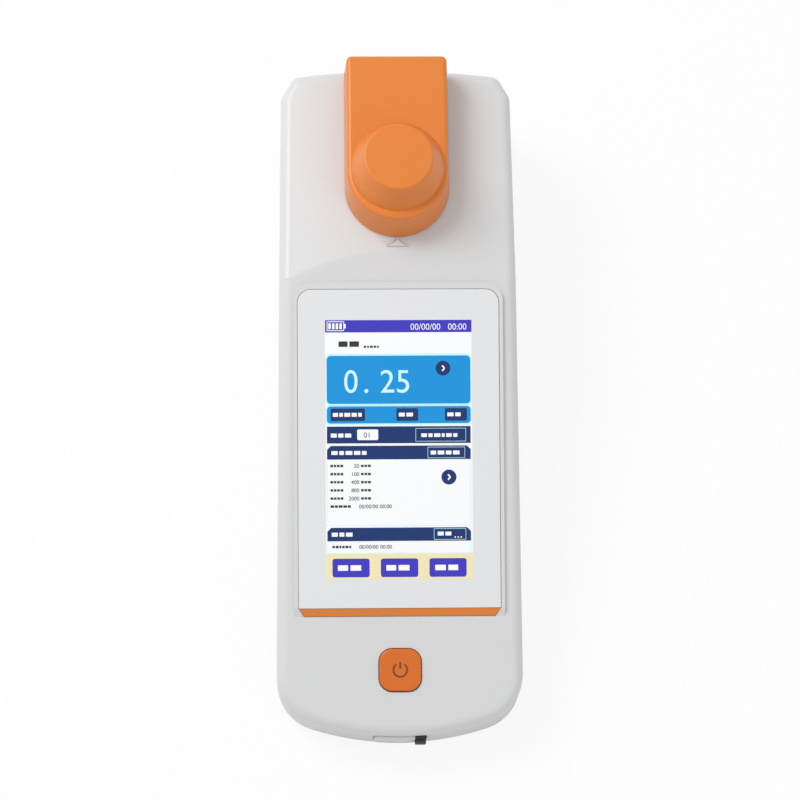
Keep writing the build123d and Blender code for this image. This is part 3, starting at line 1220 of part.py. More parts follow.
lamp_board = optic_board(LAMP_SIDE)
through_board = optic_board(THROUGH_SIDE)
scatter_board = optic_board(SCATTER_SIDE)
through_detector = detector(THROUGH_SIDE)
scatter_detector = detector(SCATTER_SIDE)
lamp_lens = port_lens(LAMP_SIDE)
scatter_lens = port_lens(SCATTER_SIDE)
optics_screws = small_screws(
    [
        seat
        for side in PORT_SIDES
        for seat in seats_on(port_plane(side, PORT_REACH + OPTIC_BOARD_THICKNESS), PORT_SCREWS)
    ]
    + seats_on(port_plane((0, -1), PREAMP_REACH + OPTIC_BOARD_THICKNESS), PREAMP_SCREWS),
    4.0,
)

# Lamp: domed light source on its board.
with BuildPart() as lamp:
    with BuildSketch(port_plane(LAMP_SIDE, PORT_REACH)):
        Circle(LAMP_RADIUS)
    extrude(amount=-LAMP_LENGTH)
    fillet(lamp.faces().sort_by(Axis.X)[-1].edges(), radius=LAMP_RADIUS * 0.95)
    with BuildSketch(port_plane(LAMP_SIDE, PORT_REACH)):
        Circle(LAMP_FLANGE_RADIUS)
    extrude(amount=-1)

# Amplifier board on the front of the well, with its plug.
with BuildPart() as preamp_board:
    with BuildSketch(PREAMP_FACE):
        RectangleRounded(PREAMP_WIDTH, PREAMP_HEIGHT, radius=1)
        with Locations(*PREAMP_SCREWS):
            Circle(SMALL_SCREW_RADIUS + FIT, mode=Mode.SUBTRACT)
    extrude(amount=OPTIC_BOARD_THICKNESS)
with BuildPart() as preamp_connector:
    with BuildSketch(Plane.XZ.offset(-PREAMP_Y)):
        with Locations((0, SENSOR_LINE_Z)):
            Rectangle(SENSOR_RIBBON_WIDTH + 2, 4)
    extrude(amount=CONNECTOR_LENGTH)


def lid_outline(width, lean, inset=0):
    """Outline of the lid from above: straight sides, square back, half-round nose."""
    half = width / 2 - inset
    nose = CREASE_Y + LID_NOSE_SETBACK + lean
    back = LID_BACK_Y - inset
    with BuildSketch() as outline:
        with BuildLine():
            Line((half, nose), (half, back))
            Line((half, back), (-half, back))
            Line((-half, back), (-half, nose))
            ThreePointArc((-half, nose), (0, nose - half), (half, nose))
        make_face()
        radius = max(LID_CORNER_RADIUS - inset, 0.4)
        fillet(outline.vertices().group_by(Axis.Y)[-1], radius=radius)
    return outline.sketch


LID_TOP_Z = HEAD_HEIGHT + LID_HEIGHT
LID_ROOF_Z = LID_TOP_Z - LID_WALL
KNOB_TOP_Z = LID_TOP_Z + KNOB_HEIGHT
KNOB_SLOPE = (KNOB_FOOT_RADIUS - KNOB_TOP_RADIUS) / KNOB_HEIGHT
KNOB_ROOF_RADIUS = KNOB_TOP_RADIUS + KNOB_SLOPE * LID_WALL - LID_WALL
KNOB_HOLLOW_RADIUS = KNOB_FOOT_RADIUS + KNOB_SLOPE * LID_WALL - LID_WALL
LID_FOOT_Z = HEAD_HEIGHT - 1.5
SKIRT_RADIUS = COLLAR_RADIUS + SKIRT_GAP
LUG_START = BARREL_WIDTH / 2 + BARREL_SIDE_GAP

# Lid: hollow orange cap with a tapered knob, lugs for the pin and a notch at the barrel.
with BuildPart() as lid:
    with BuildSketch(Plane.XY.offset(LID_FOOT_Z)):
        add(lid_outline(LID_FOOT_WIDTH, 0))
    with BuildSketch(Plane.XY.offset(LID_TOP_Z)):
        add(lid_outline(LID_TOP_WIDTH, LID_NOSE_LEAN))
    loft()
    fillet(lid.faces().sort_by(Axis.Z)[-1].edges(), radius=LID_EDGE_RADIUS)
    with BuildSketch(Plane.XZ.offset(-WELL_Y)):
        with BuildLine():
            Polyline(
                (0, LID_TOP_Z - LID_WALL / 2),
                (KNOB_FOOT_RADIUS, LID_TOP_Z - LID_WALL / 2),
                (KNOB_FOOT_RADIUS, LID_TOP_Z),
                (KNOB_TOP_RADIUS, KNOB_TOP_Z),
                (0, KNOB_TOP_Z),
                close=True,
            )
        make_face()
    revolve(axis=Axis((0, WELL_Y, 0), (0, 0, 1)))
    fillet(lid.faces().sort_by(Axis.Z)[-1].edges(), radius=KNOB_EDGE_RADIUS)

with BuildPart() as lid_hollow:
    with BuildSketch(Plane.XY.offset(LID_FOOT_Z)):
        add(lid_outline(LID_FOOT_WIDTH, 0, LID_WALL))
    with BuildSketch(Plane.XY.offset(LID_ROOF_Z)):
        add(lid_outline(LID_TOP_WIDTH, LID_NOSE_LEAN, LID_WALL))
    loft()
    with BuildSketch(Plane.XZ.offset(-WELL_Y)):
        with BuildLine():
            Polyline(
                (0, LID_ROOF_Z - 1),
                (KNOB_HOLLOW_RADIUS, LID_ROOF_Z - 1),
                (KNOB_HOLLOW_RADIUS, LID_ROOF_Z),
                (KNOB_ROOF_RADIUS, KNOB_TOP_Z - LID_WALL),
                (0, KNOB_TOP_Z - LID_WALL),
                close=True,
            )
        make_face()
    revolve(axis=Axis((0, WELL_Y, 0), (0, 0, 1)))

with lid:
    add(lid_hollow.part, mode=Mode.SUBTRACT)
    # Lugs beside the hinge barrel, and the boss for the magnet in the nose.
    for side in (-1, 1):
        with BuildSketch(Plane.YZ.offset(side * LUG_START)):
            with Locations((HINGE_Y, HINGE_Z)):
                Circle(HINGE_RADIUS - LID_GAP)
            with Locations((HINGE_Y, (HINGE_Z + LID_ROOF_Z) / 2)):
                Rectangle(2 * (HINGE_RADIUS - LID_GAP), LID_ROOF_Z - HINGE_Z)
        extrude(amount=side * LUG_WIDTH)
    with BuildSketch(Plane.XY.offset(HEAD_HEIGHT + LID_GAP)):
        with Locations((0, CATCH_Y)):
            Circle(MAGNET_RADIUS + MAGNET_BOSS_WALL)
        with Locations((0, WELL_Y)):
            Circle(SKIRT_RADIUS + SKIRT_WALL + FIT, mode=Mode.SUBTRACT)
    extrude(amount=LID_GAP + MAGNET_LENGTH + MAGNET_ROOF)
    # Underside follows the crowned head; the back corner is round about the pin.
    with BuildSketch(Plane.XZ.offset(-CREASE_Y)):
        with Locations((0, HEAD_HEIGHT - CROWN_RADIUS)):
            Circle(CROWN_RADIUS + LID_GAP)
    extrude(amount=-2 * HEAD_LENGTH, mode=Mode.SUBTRACT)
    with BuildSketch(Plane.YZ):
        with Locations((HINGE_Y + HINGE_RADIUS, HINGE_Z - HINGE_RADIUS)):
            Rectangle(2 * HINGE_RADIUS, 2 * HINGE_RADIUS)
        with Locations((HINGE_Y, HINGE_Z)):
            Circle(HINGE_RADIUS, mode=Mode.SUBTRACT)
    extrude(amount=LID_FOOT_WIDTH, both=True, mode=Mode.SUBTRACT)
    notch_top = HINGE_Z + BARREL_RADIUS + BARREL_NOTCH_GAP
    with BuildSketch(Plane.XY.offset(HEAD_HEIGHT - WALL)):
        with Locations((0, HINGE_Y + HINGE_RADIUS)):
            Rectangle(2 * LUG_START, 2 * HINGE_RADIUS)
    extrude(amount=notch_top - HEAD_HEIGHT + WALL, mode=Mode.SUBTRACT)
    with BuildSketch(Plane.YZ):
        with Locations((HINGE_Y, HINGE_Z)):
            Circle(PIN_RADIUS)
    extrude(amount=LID_FOOT_WIDTH, both=True, mode=Mode.SUBTRACT)
    with BuildSketch(Plane.XY.offset(HEAD_HEIGHT)):
        with Locations((0, CATCH_Y)):
            Circle(MAGNET_RADIUS)
    extrude(amount=LID_GAP * 2 + MAGNET_LENGTH, mode=Mode.SUBTRACT)

# Hinge pin through both lugs and the barrel.
with BuildPart() as hinge_pin:
    with BuildSketch(Plane.YZ):
        with Locations((HINGE_Y, HINGE_Z)):
            Circle(PIN_RADIUS)
    extrude(amount=LID_TOP_WIDTH / 2, both=True)
    chamfer(hinge_pin.edges().filter_by(GeomType.CIRCLE), length=0.25)

# Black liner in the lid that keeps light off the vial, with its skirt round the collar.
SKIRT_BOTTOM = HEAD_HEIGHT - POCKET_DEPTH + LID_SEAL_GAP + LID_SEAL_HEIGHT
with BuildPart() as lid_liner:
    with BuildSketch(Plane.XZ.offset(-WELL_Y)):
        with BuildLine():
            Polyline(
                (SKIRT_RADIUS, SKIRT_BOTTOM),
                (SKIRT_RADIUS + SKIRT_WALL, SKIRT_BOTTOM),
                (SKIRT_RADIUS + SKIRT_WALL, LID_ROOF_Z),
                (KNOB_HOLLOW_RADIUS - FIT, LID_ROOF_Z),
                (KNOB_ROOF_RADIUS - FIT, KNOB_TOP_Z - LID_WALL),
                (0, KNOB_TOP_Z - LID_WALL),
                (0, KNOB_TOP_Z - LID_WALL - SKIRT_WALL),
                (KNOB_ROOF_RADIUS - FIT - SKIRT_WALL, KNOB_TOP_Z - LID_WALL - SKIRT_WALL),
                (KNOB_HOLLOW_RADIUS - FIT - SKIRT_WALL, LID_ROOF_Z - SKIRT_WALL),
                (SKIRT_RADIUS, LID_ROOF_Z - SKIRT_WALL),
                close=True,
            )
        make_face()
    revolve(axis=Axis((0, WELL_Y, 0), (0, 0, 1)))

# Foam ring under the skirt, and the magnet and steel disc that hold the lid shut.
with BuildPart() as lid_seal:
    with BuildSketch(Plane.XY.offset(SKIRT_BOTTOM - LID_SEAL_HEIGHT)):
        with Locations((0, WELL_Y)):
            Circle(SKIRT_RADIUS + SKIRT_WALL)
            Circle(SKIRT_RADIUS, mode=Mode.SUBTRACT)
    extrude(amount=LID_SEAL_HEIGHT)
with BuildPart() as lid_magnet:
    with BuildSketch(Plane.XY.offset(HEAD_HEIGHT + 2 * LID_GAP)):
        with Locations((0, CATCH_Y)):
            Circle(MAGNET_RADIUS - 0.05)
    extrude(amount=MAGNET_LENGTH)
with BuildPart() as catch_disc:
    with BuildSketch(Plane.XY.offset(HEAD_HEIGHT - WALL)):
        with Locations((0, CATCH_Y)):
            Circle(MAGNET_RADIUS - 0.05)
    extrude(amount=CATCH_THICKNESS)

# Rubber flap over the charging port, with a plug at its back and a pull tab.
with BuildPart() as port_flap:
    with BuildSketch(Plane.XZ.offset(-FLAP_BACK_Y)):
        with Locations((0, PORT_CENTRE_Z)):
            RectangleRounded(PORT_FLAP_WIDTH, PORT_FLAP_HEIGHT, radius=PORT_FLAP_CORNER)
    extrude(amount=PORT_FLAP_SEAT + PORT_FLAP_PROUD)
    # The outer face follows the curve of the front wall.
    with BuildSketch(Plane.XY.offset(PORT_CENTRE_Z)):
        with Locations((0, FRONT_Y + FRONT_ARC_RADIUS)):
            Circle(FRONT_ARC_RADIUS + PORT_FLAP_PROUD)
    extrude(amount=PORT_FLAP_HEIGHT, both=True, mode=Mode.INTERSECT)
    with BuildSketch(Plane.XZ.offset(-FLAP_BACK_Y)):
        with Locations((0, PORT_CENTRE_Z)):
            RectangleRounded(
                PORT_HOLE_WIDTH - 2 * PLUG_GAP,
                PORT_HOLE_HEIGHT - 2 * PORT_FLAP_GAP,
                radius=PORT_HOLE_HEIGHT / 3 - PORT_FLAP_GAP,
            )
    extrude(amount=-PLUG_DEPTH)
    with BuildSketch(Plane.XZ.offset(-FRONT_Y)):
        with Locations((PORT_FLAP_WIDTH / 2 - PULL_TAB_WIDTH / 2 - FIT, PORT_CENTRE_Z)):
            RectangleRounded(PULL_TAB_WIDTH, PORT_FLAP_HEIGHT * 0.7, radius=1)
    extrude(amount=PORT_FLAP_PROUD + PULL_TAB_PROUD)

# Rubber anchor that holds the flap's thin hinge web in a pocket of the cover.
with BuildPart() as flap_anchor:
    with BuildSketch(Plane.XZ.offset(-SEAT_Y)):
        with Locations((ANCHOR_X, PORT_CENTRE_Z)):
            Rectangle(ANCHOR_WIDTH, PORT_HOLE_HEIGHT)
    extrude(amount=-ANCHOR_DEPTH)


def finish(piece, name):
    """Label a finished piece and write it to its own file."""
    piece.label = name
    export_step(piece, f"parts/{name}.step")


for built, name in (
    (top_cover, "top_cover"),
    (base_cover, "base_cover"),
    (case_seal, "case_seal"),
    (rubber_feet, "rubber_feet"),
    (battery_door, "battery_door"),
    (battery_cells, "battery_cells"),
    (battery_contacts, "battery_contacts"),
    (door_screws, "door_screws"),
    (threaded_inserts, "threaded_inserts"),
    (screen_lens, "screen_lens"),
    (lens_tape, "lens_tape"),
    (accent_strip, "accent_strip"),
    (display_module, "display_module"),
    (display_bracket, "display_bracket"),
    (display_ribbon, "display_ribbon"),
    (power_button, "power_button"),
    (button_board, "button_board"),
    (button_switch, "button_switch"),
    (main_board, "main_board"),
    (board_chips, "board_chips"),
    (board_connectors, "board_connectors"),
    (buzzer, "buzzer"),
    (usb_socket, "usb_socket"),
    (sensor_ribbon, "sensor_ribbon"),
    (vial_well, "vial_well"),
    (well_collar, "well_collar"),
    (well_seal, "well_seal"),
    (lamp, "lamp"),
    (preamp_board, "preamp_board"),
    (preamp_connector, "preamp_connector"),
    (lid, "lid"),
    (hinge_pin, "hinge_pin"),
    (lid_liner, "lid_liner"),
    (lid_seal, "lid_seal"),
    (lid_magnet, "lid_magnet"),
    (catch_disc, "catch_disc"),
    (port_flap, "port_flap"),
    (flap_anchor, "flap_anchor"),
):
    finish(built.part, name)
for piece, name in (
    (case_screws, "case_screws"),
    (main_board_screws, "main_board_screws"),
    (well_screws, "well_screws"),
    (bracket_screws, "bracket_screws"),
    (button_board_screws, "button_board_screws"),
    (optics_screws, "optics_screws"),
    (lamp_board, "lamp_board"),
    (through_board, "through_board"),
    (scatter_board, "scatter_board"),
    (through_detector, "through_detector"),
    (scatter_detector, "scatter_detector"),
    (lamp_lens, "lamp_lens"),
    (scatter_lens, "scatter_lens"),
):
    finish(piece, name)
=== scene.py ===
"""Looks of the portable turbidity meter: finishes, screen picture, button symbol, light."""
import json
from math import atan2, cos, pi, radians, sin

import bpy
import numpy as np
from mathutils import Matrix, Vector


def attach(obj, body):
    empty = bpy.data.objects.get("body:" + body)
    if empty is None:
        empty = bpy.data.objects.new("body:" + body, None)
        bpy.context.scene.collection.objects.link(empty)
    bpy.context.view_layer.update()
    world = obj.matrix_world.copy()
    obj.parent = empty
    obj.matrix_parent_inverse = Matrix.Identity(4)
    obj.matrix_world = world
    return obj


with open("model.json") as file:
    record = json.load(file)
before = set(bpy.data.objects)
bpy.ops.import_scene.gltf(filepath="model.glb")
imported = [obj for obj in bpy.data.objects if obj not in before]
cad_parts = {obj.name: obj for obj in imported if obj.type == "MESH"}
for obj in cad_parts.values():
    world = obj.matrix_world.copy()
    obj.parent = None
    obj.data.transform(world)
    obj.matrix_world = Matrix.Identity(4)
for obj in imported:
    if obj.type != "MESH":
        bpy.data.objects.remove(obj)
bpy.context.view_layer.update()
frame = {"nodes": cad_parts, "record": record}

MM = 0.001

# Places repeated from the solids, in mm. At the crease the level head meets the display face.
HEAD_Z = 60.0
CREASE_Y = 51.35
FACE_DROP, FACE_RUN = 39.96, 173.1
FALL = atan2(FACE_DROP, FACE_RUN)
CREASE = np.array([0.0, CREASE_Y, HEAD_Z]) * MM
PLATFORM_RISE = 1.3
BUTTON_DOWN = 154.0
BUTTON_PROUD = 1.0
BUTTON_DISH = 0.25
BUTTON_DISH_HALF = 6.1
SCREEN_TOP = 25.8
SCREEN_END = 120.84
SCREEN_HALF = 26.93
FLAP_LIP_TOP = 9.6
PULL_TAB_LEFT = 5.4
POINTER_HALF, POINTER_REACH, POINTER_RISE, POINTER_TIP_Y = 3.6, 2.9, 0.8, 56.0

# Height of one layer of the picture, and of the power symbol over the button, in mm
LAYER = 0.02


def on_face(x, down, up):
    """Points over the display face in metres, from x, distance down the face and height, in mm.

    A point is the crease plus x along X, minus down along the falling direction
    (0, cos fall, sin fall), plus up along the normal (0, -sin fall, cos fall).
    """
    x, down, up = np.broadcast_arrays(
        np.asarray(x, float), np.asarray(down, float), np.asarray(up, float)
    )
    y = -down * cos(FALL) - up * sin(FALL)
    z = -down * sin(FALL) + up * cos(FALL)
    return np.stack([x, y, z], axis=-1) * MM + CREASE


def add_piece(name, points, faces, material, body, smooth=True):
    """Puts points (n, 3) and faces into a new object that rides on a body."""
    mesh = bpy.data.meshes.new(name)
    mesh.from_pydata(np.asarray(points, float).reshape(-1, 3).tolist(), [], faces)
    mesh.materials.append(material)
    mesh.polygons.foreach_set("use_smooth", np.full(len(mesh.polygons), smooth))
    mesh.update()
    piece = bpy.data.objects.new(name, mesh)
    bpy.context.scene.collection.objects.link(piece)
    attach(piece, body)
    return piece


def turn_up(piece):
    """Turns a flat piece's faces over where they look down."""
    if piece.data.polygons[0].normal.z < 0:
        piece.data.flip_normals()


def dress(node, material):
    """Gives a node one material in place of what it has."""
    node.data.materials.clear()
    node.data.materials.append(material)


def grid_faces(rows, columns, closed=False):
    """Quads of a grid of rows by columns of points; closed joins the last column to the first."""
    row, column = np.meshgrid(
        np.arange(rows - 1), np.arange(columns if closed else columns - 1), indexing="ij"
    )
    following = (column + 1) % columns
    corners = [
        row * columns + column,
        row * columns + following,
        (row + 1) * columns + following,
        (row + 1) * columns + column,
    ]
    return np.stack(corners, axis=-1).reshape(-1, 4).tolist()


# Finishes


def start_material(name):
    """New node material: returns it, its node tree and its shader."""
    material = bpy.data.materials.new(name)
    material.use_nodes = True
    tree = material.node_tree
    return material, tree, tree.nodes["Principled BSDF"]


def place_noise(tree, scale, detail, roughness=0.5):
    """Noise over the object's own coordinates, so that it stays on the piece."""
    coordinates = tree.nodes.new("ShaderNodeTexCoord")
    noise = tree.nodes.new("ShaderNodeTexNoise")
    noise.inputs["Scale"].default_value = scale
    noise.inputs["Detail"].default_value = detail
    noise.inputs["Roughness"].default_value = roughness
    tree.links.new(coordinates.outputs["Object"], noise.inputs["Vector"])
    return noise


def maths(tree, operation, first, second):
    """Result of a maths node on a socket and a second socket or number."""
    node = tree.nodes.new("ShaderNodeMath")
    node.operation = operation
    tree.links.new(first, node.inputs[0])
    if isinstance(second, float):
        node.inputs[1].default_value = second
    else:
        tree.links.new(second, node.inputs[1])
    return node.outputs[0]


# Noise seldom leaves this range, so it is what a pattern's full swing is read from.
NOISE_LOW, NOISE_HIGH = 0.3, 0.7


def vary_gloss(tree, source, shader, middle, swing):
    """Lets the roughness run along a noise, from middle - swing to middle + swing."""
    node = tree.nodes.new("ShaderNodeMapRange")
    node.inputs["From Min"].default_value = NOISE_LOW
    node.inputs["From Max"].default_value = NOISE_HIGH
    node.inputs["To Min"].default_value = middle - swing
    node.inputs["To Max"].default_value = middle + swing
    tree.links.new(source, node.inputs["Value"])
    tree.links.new(node.outputs["Result"], shader.inputs["Roughness"])


def tint_by(tree, source, first, second, shader):
    """Runs the shader's colour between two near colours along a 0 to 1 pattern."""
    mix = tree.nodes.new("ShaderNodeMix")
    mix.data_type = "RGBA"
    mix.inputs[6].default_value = (*first, 1)
    mix.inputs[7].default_value = (*second, 1)
    tree.links.new(source, mix.inputs[0])
    tree.links.new(mix.outputs[2], shader.inputs["Base Color"])


def raise_by(tree, source, height, shader):
    """Bump from a pattern; height is the grain's depth in metres."""
    bump = tree.nodes.new("ShaderNodeBump")
    bump.inputs["Strength"].default_value = 1.0
    bump.inputs["Distance"].default_value = height
    tree.links.new(source, bump.inputs["Height"])
    tree.links.new(bump.outputs["Normal"], shader.inputs["Normal"])


def shade(colour, share):
    """Colour times a share, held at 1."""
    return tuple(min(1.0, c * share) for c in colour)


def moulded(name, colour, roughness, grain=900, depth=0.00002, drift=0.02, coat=0.0):
    """Moulded plastic or rubber: fine etched grain, slow drift of tint and of gloss."""
    material, tree, shader = start_material(name)
    slow = place_noise(tree, 18, 3)
    fine = place_noise(tree, grain, 4, 0.6)
    tint_by(tree, slow.outputs["Fac"], shade(colour, 1 - drift), shade(colour, 1 + drift), shader)
    vary_gloss(tree, fine.outputs["Fac"], shader, roughness, 0.05)
    raise_by(tree, fine.outputs["Fac"], depth, shader)
    shader.inputs["Coat Weight"].default_value = coat
    shader.inputs["Coat Roughness"].default_value = 0.12
    return material


def metal(name, colour, roughness):
    """Plain metal with a drawn or turned grain: noise drawn in along the upright direction."""
    material, tree, shader = start_material(name)
    coordinates = tree.nodes.new("ShaderNodeTexCoord")
    mapping = tree.nodes.new("ShaderNodeMapping")
    mapping.inputs["Scale"].default_value = (1, 1, 12)
    noise = tree.nodes.new("ShaderNodeTexNoise")
    noise.inputs["Scale"].default_value = 300
    noise.inputs["Detail"].default_value = 3
    tree.links.new(coordinates.outputs["Object"], mapping.inputs["Vector"])
    tree.links.new(mapping.outputs["Vector"], noise.inputs["Vector"])
    tint_by(tree, noise.outputs["Fac"], shade(colour, 0.92), colour, shader)
    vary_gloss(tree, noise.outputs["Fac"], shader, roughness, 0.08)
    raise_by(tree, noise.outputs["Fac"], 0.000005, shader)
    shader.inputs["Metallic"].default_value = 1.0
    return material


def circuit(name, mask, copper):
    """Lacquered circuit board: tracks under the mask from a squared-off pattern of lines."""
    material, tree, shader = start_material(name)
    coordinates = tree.nodes.new("ShaderNodeTexCoord")
    brick = tree.nodes.new("ShaderNodeTexBrick")
    brick.inputs["Scale"].default_value = 260
    brick.inputs["Mortar Size"].default_value = 0.03
    brick.inputs["Color1"].default_value = (*mask, 1)
    brick.inputs["Color2"].default_value = (*shade(mask, 0.8), 1)
    brick.inputs["Mortar"].default_value = (*copper, 1)
    tree.links.new(coordinates.outputs["Object"], brick.inputs["Vector"])
    tree.links.new(brick.outputs["Color"], shader.inputs["Base Color"])
    raise_by(tree, brick.outputs["Fac"], 0.00003, shader)
    shader.inputs["Roughness"].default_value = 0.35
    shader.inputs["Coat Weight"].default_value = 0.4
    return material


def clear(name, colour, roughness):
    """Clear glass or resin with a faint waviness."""
    material, tree, shader = start_material(name)
    slow = place_noise(tree, 60, 2)
    raise_by(tree, slow.outputs["Fac"], 0.000004, shader)
    shader.inputs["Base Color"].default_value = (*colour, 1)
    shader.inputs["Roughness"].default_value = roughness
    shader.inputs["IOR"].default_value = 1.5
    shader.inputs["Transmission Weight"].default_value = 1.0
    return material


def lit_ink(name, colour, glow=0.12):
    """Part of the lit picture under the lens: even colour, a little of its own light, gloss."""
    material, tree, shader = start_material(name)
    pixels = place_noise(tree, 2600, 1)
    tint_by(tree, pixels.outputs["Fac"], shade(colour, 0.985), colour, shader)
    shader.inputs["Roughness"].default_value = 0.22
    shader.inputs["Emission Color"].default_value = (*colour, 1)
    shader.inputs["Emission Strength"].default_value = glow
    return material


FINISHES = {
    "housing_white": moulded(
        "housing_white", (0.675, 0.678, 0.68), 0.46,
        grain=1400, depth=0.000012, drift=0.006, coat=0.15,
    ),
    "accent_orange": moulded(
        "accent_orange", (0.75, 0.215, 0.029), 0.34, grain=1500, depth=0.000008
    ),
    "lens_white": moulded(
        "lens_white", (0.765, 0.775, 0.79), 0.12, grain=1500, depth=0.000001, drift=0.004
    ),
    "screen_glass": moulded(
        "screen_glass", (0.02, 0.022, 0.03), 0.08, grain=300, depth=0.000001
    ),
    "black_plastic": moulded("black_plastic", (0.014, 0.014, 0.015), 0.5, grain=1500),
    "black_rubber": moulded(
        "black_rubber", (0.022, 0.024, 0.027), 0.7, grain=1100, depth=0.00003, drift=0.1
    ),
    "grey_seal": moulded(
        "grey_seal", (0.055, 0.055, 0.058), 0.8, grain=700, depth=0.00006, drift=0.2
    ),
    "steel": metal("steel", (0.6, 0.6, 0.61), 0.3),
    "brass": metal("brass", (0.62, 0.42, 0.13), 0.32),
    "board_green": circuit("board_green", (0.008, 0.09, 0.035), (0.03, 0.16, 0.07)),
    "chip_black": moulded("chip_black", (0.012, 0.012, 0.013), 0.55, grain=1200, depth=0.00001),
    "ribbon_amber": moulded(
        "ribbon_amber", (0.45, 0.19, 0.03), 0.3, grain=500, depth=0.000004, coat=0.3
    ),
    "cell_wrap": moulded(
        "cell_wrap", (0.02, 0.11, 0.33), 0.25, grain=300, depth=0.000004, coat=0.4
    ),
    "optic_glass": clear("optic_glass", (0.95, 0.98, 0.99), 0.04),
    "lamp_clear": clear("lamp_clear", (0.98, 0.95, 0.88), 0.1),
}
for part in frame["record"]["subparts"]:
    dress(frame["nodes"][part["node"]], FINISHES[part["material_slot"]])

# The flap's rubber: black, with its face in the housing's colour above its lower lip


def flap_rubber():
    """Black rubber whose face turns pale above the lip and left of the pull tab."""
    material, tree, shader = start_material("flap_rubber")
    coordinates = tree.nodes.new("ShaderNodeTexCoord")
    split = tree.nodes.new("ShaderNodeSeparateXYZ")
    tree.links.new(coordinates.outputs["Object"], split.inputs[0])
    above = maths(tree, "GREATER_THAN", split.outputs["Z"], FLAP_LIP_TOP * MM)
    beside = maths(tree, "LESS_THAN", split.outputs["X"], PULL_TAB_LEFT * MM)
    face = maths(tree, "MULTIPLY", above, beside)
    tint_by(tree, face, (0.022, 0.026, 0.03), (0.66, 0.66, 0.66), shader)
    grain = place_noise(tree, 1100, 4)
    raise_by(tree, grain.outputs["Fac"], 0.00002, shader)
    vary_gloss(tree, grain.outputs["Fac"], shader, 0.6, 0.1)
    return material


dress(frame["nodes"]["port_flap"], flap_rubber())

# The button is a deeper orange than the lid
dress(
    frame["nodes"]["power_button"],
    moulded("button_orange", (0.69, 0.15, 0.012), 0.34, grain=1500, depth=0.000008),
)

# Picture on the screen: flat fields of one colour each. Their places are in mm over the display
# face: left, right, top and end, with x from the middle and top and end down from the crease.


CORNER_STEPS = 6
SHARPEST_CORNER = 0.01


def field_outline(left, right, top, end, corner=SHARPEST_CORNER, cut=0.0):
    """Corner points of a field: four rounded corners, or two cut ones at the top.

    Each rounded corner is a quarter circle sampled in equal turns; a cut corner is two points.
    """
    if cut:
        return np.array(
            [
                (left, end), (right, end), (right, top + cut), (right - cut, top),
                (left + cut, top), (left, top + cut),
            ]
        )
    turn = np.linspace(0, pi / 2, CORNER_STEPS)
    centres = [
        (right - corner, end - corner), (left + corner, end - corner),
        (left + corner, top + corner), (right - corner, top + corner),
    ]
    arcs = []
    for k, (cx, cy) in enumerate(centres):
        angle = turn + k * pi / 2
        arcs.append(np.stack([cx + corner * np.cos(angle), cy + corner * np.sin(angle)], -1))
    return np.concatenate(arcs)


def fields_piece(name, outlines, layer, material):
    """Flat fields of one colour in one layer of the picture; layer 1 is next to the lens."""
    points, faces, count = [], [], 0
    for outline in outlines:
        points.append(on_face(outline[:, 0], outline[:, 1], PLATFORM_RISE + LAYER * layer))
        faces.append(list(range(count + len(outline) - 1, count - 1, -1)))
        count += len(outline)
    piece = add_piece(name, np.concatenate(points), faces, material, "housing", smooth=False)
    turn_up(piece)


def frame_outline(left, right, top, end, width):
    """Thin upright and level bars that together draw a box."""
    return [
        field_outline(left, right, top, top + width),
        field_outline(left, right, end - width, end),
        field_outline(left, left + width, top, end),
        field_outline(right - width, right, top, end),
    ]


def disc_outline(x, down, radius):
    """Circle sampled in 40 equal turns."""
    turn = np.linspace(0, 2 * pi, 40, endpoint=False)
    return np.stack([x + radius * np.cos(turn), down + radius * np.sin(turn)], -1)


def bar_outline(start, end, width):
    """Straight bar between two points: each end is moved sideways by half the width."""
    start, end = np.array(start, float), np.array(end, float)
    along = (end - start) / np.linalg.norm(end - start)
    side = np.array([-along[1], along[0]]) * width / 2
    return np.array([start + side, end + side, end - side, start - side])


ARROW_HALF, ARROW_BACK, ARROW_AHEAD, ARROW_WIDTH = 1.0, 0.35, 0.55, 0.55


def arrow_outlines(x, down):
    """Arrow head that points to the right, as two bars."""
    tip = (x + ARROW_AHEAD, down)
    return [
        bar_outline((x - ARROW_BACK, down + side * ARROW_HALF), tip, ARROW_WIDTH)
        for side in (-1, 1)
    ]


DASH_CORNER = 0.08


def dash_row(left, right, down, height, lengths, gap):
    """Row of small bars in place of words: their lengths repeat until the row is full.

    A bar is two thirds as tall as the letters of the given height.
    """
    bars, x, k = [], left, 0
    while x + lengths[k % len(lengths)] <= right:
        length = lengths[k % len(lengths)]
        bars.append(
            field_outline(x, x + length, down - height / 3, down + height / 3, DASH_CORNER)
        )
        x += length + gap
        k += 1
    return bars


INDIGO = lit_ink("ink_indigo", (0.045, 0.035, 0.50), glow=0.05)
NAVY = lit_ink("ink_navy", (0.002, 0.028, 0.15), glow=0.03)
CYAN = lit_ink("ink_cyan", (0.0, 0.27, 0.66), glow=0.08)
HALO = lit_ink("ink_pale_cyan", (0.55, 0.86, 0.93))
PAPER = lit_ink("ink_white", (0.86, 0.87, 0.88))
CREAM = lit_ink("ink_cream", (0.80, 0.72, 0.44))
INK = lit_ink("ink_dark", (0.03, 0.03, 0.035), glow=0.0)

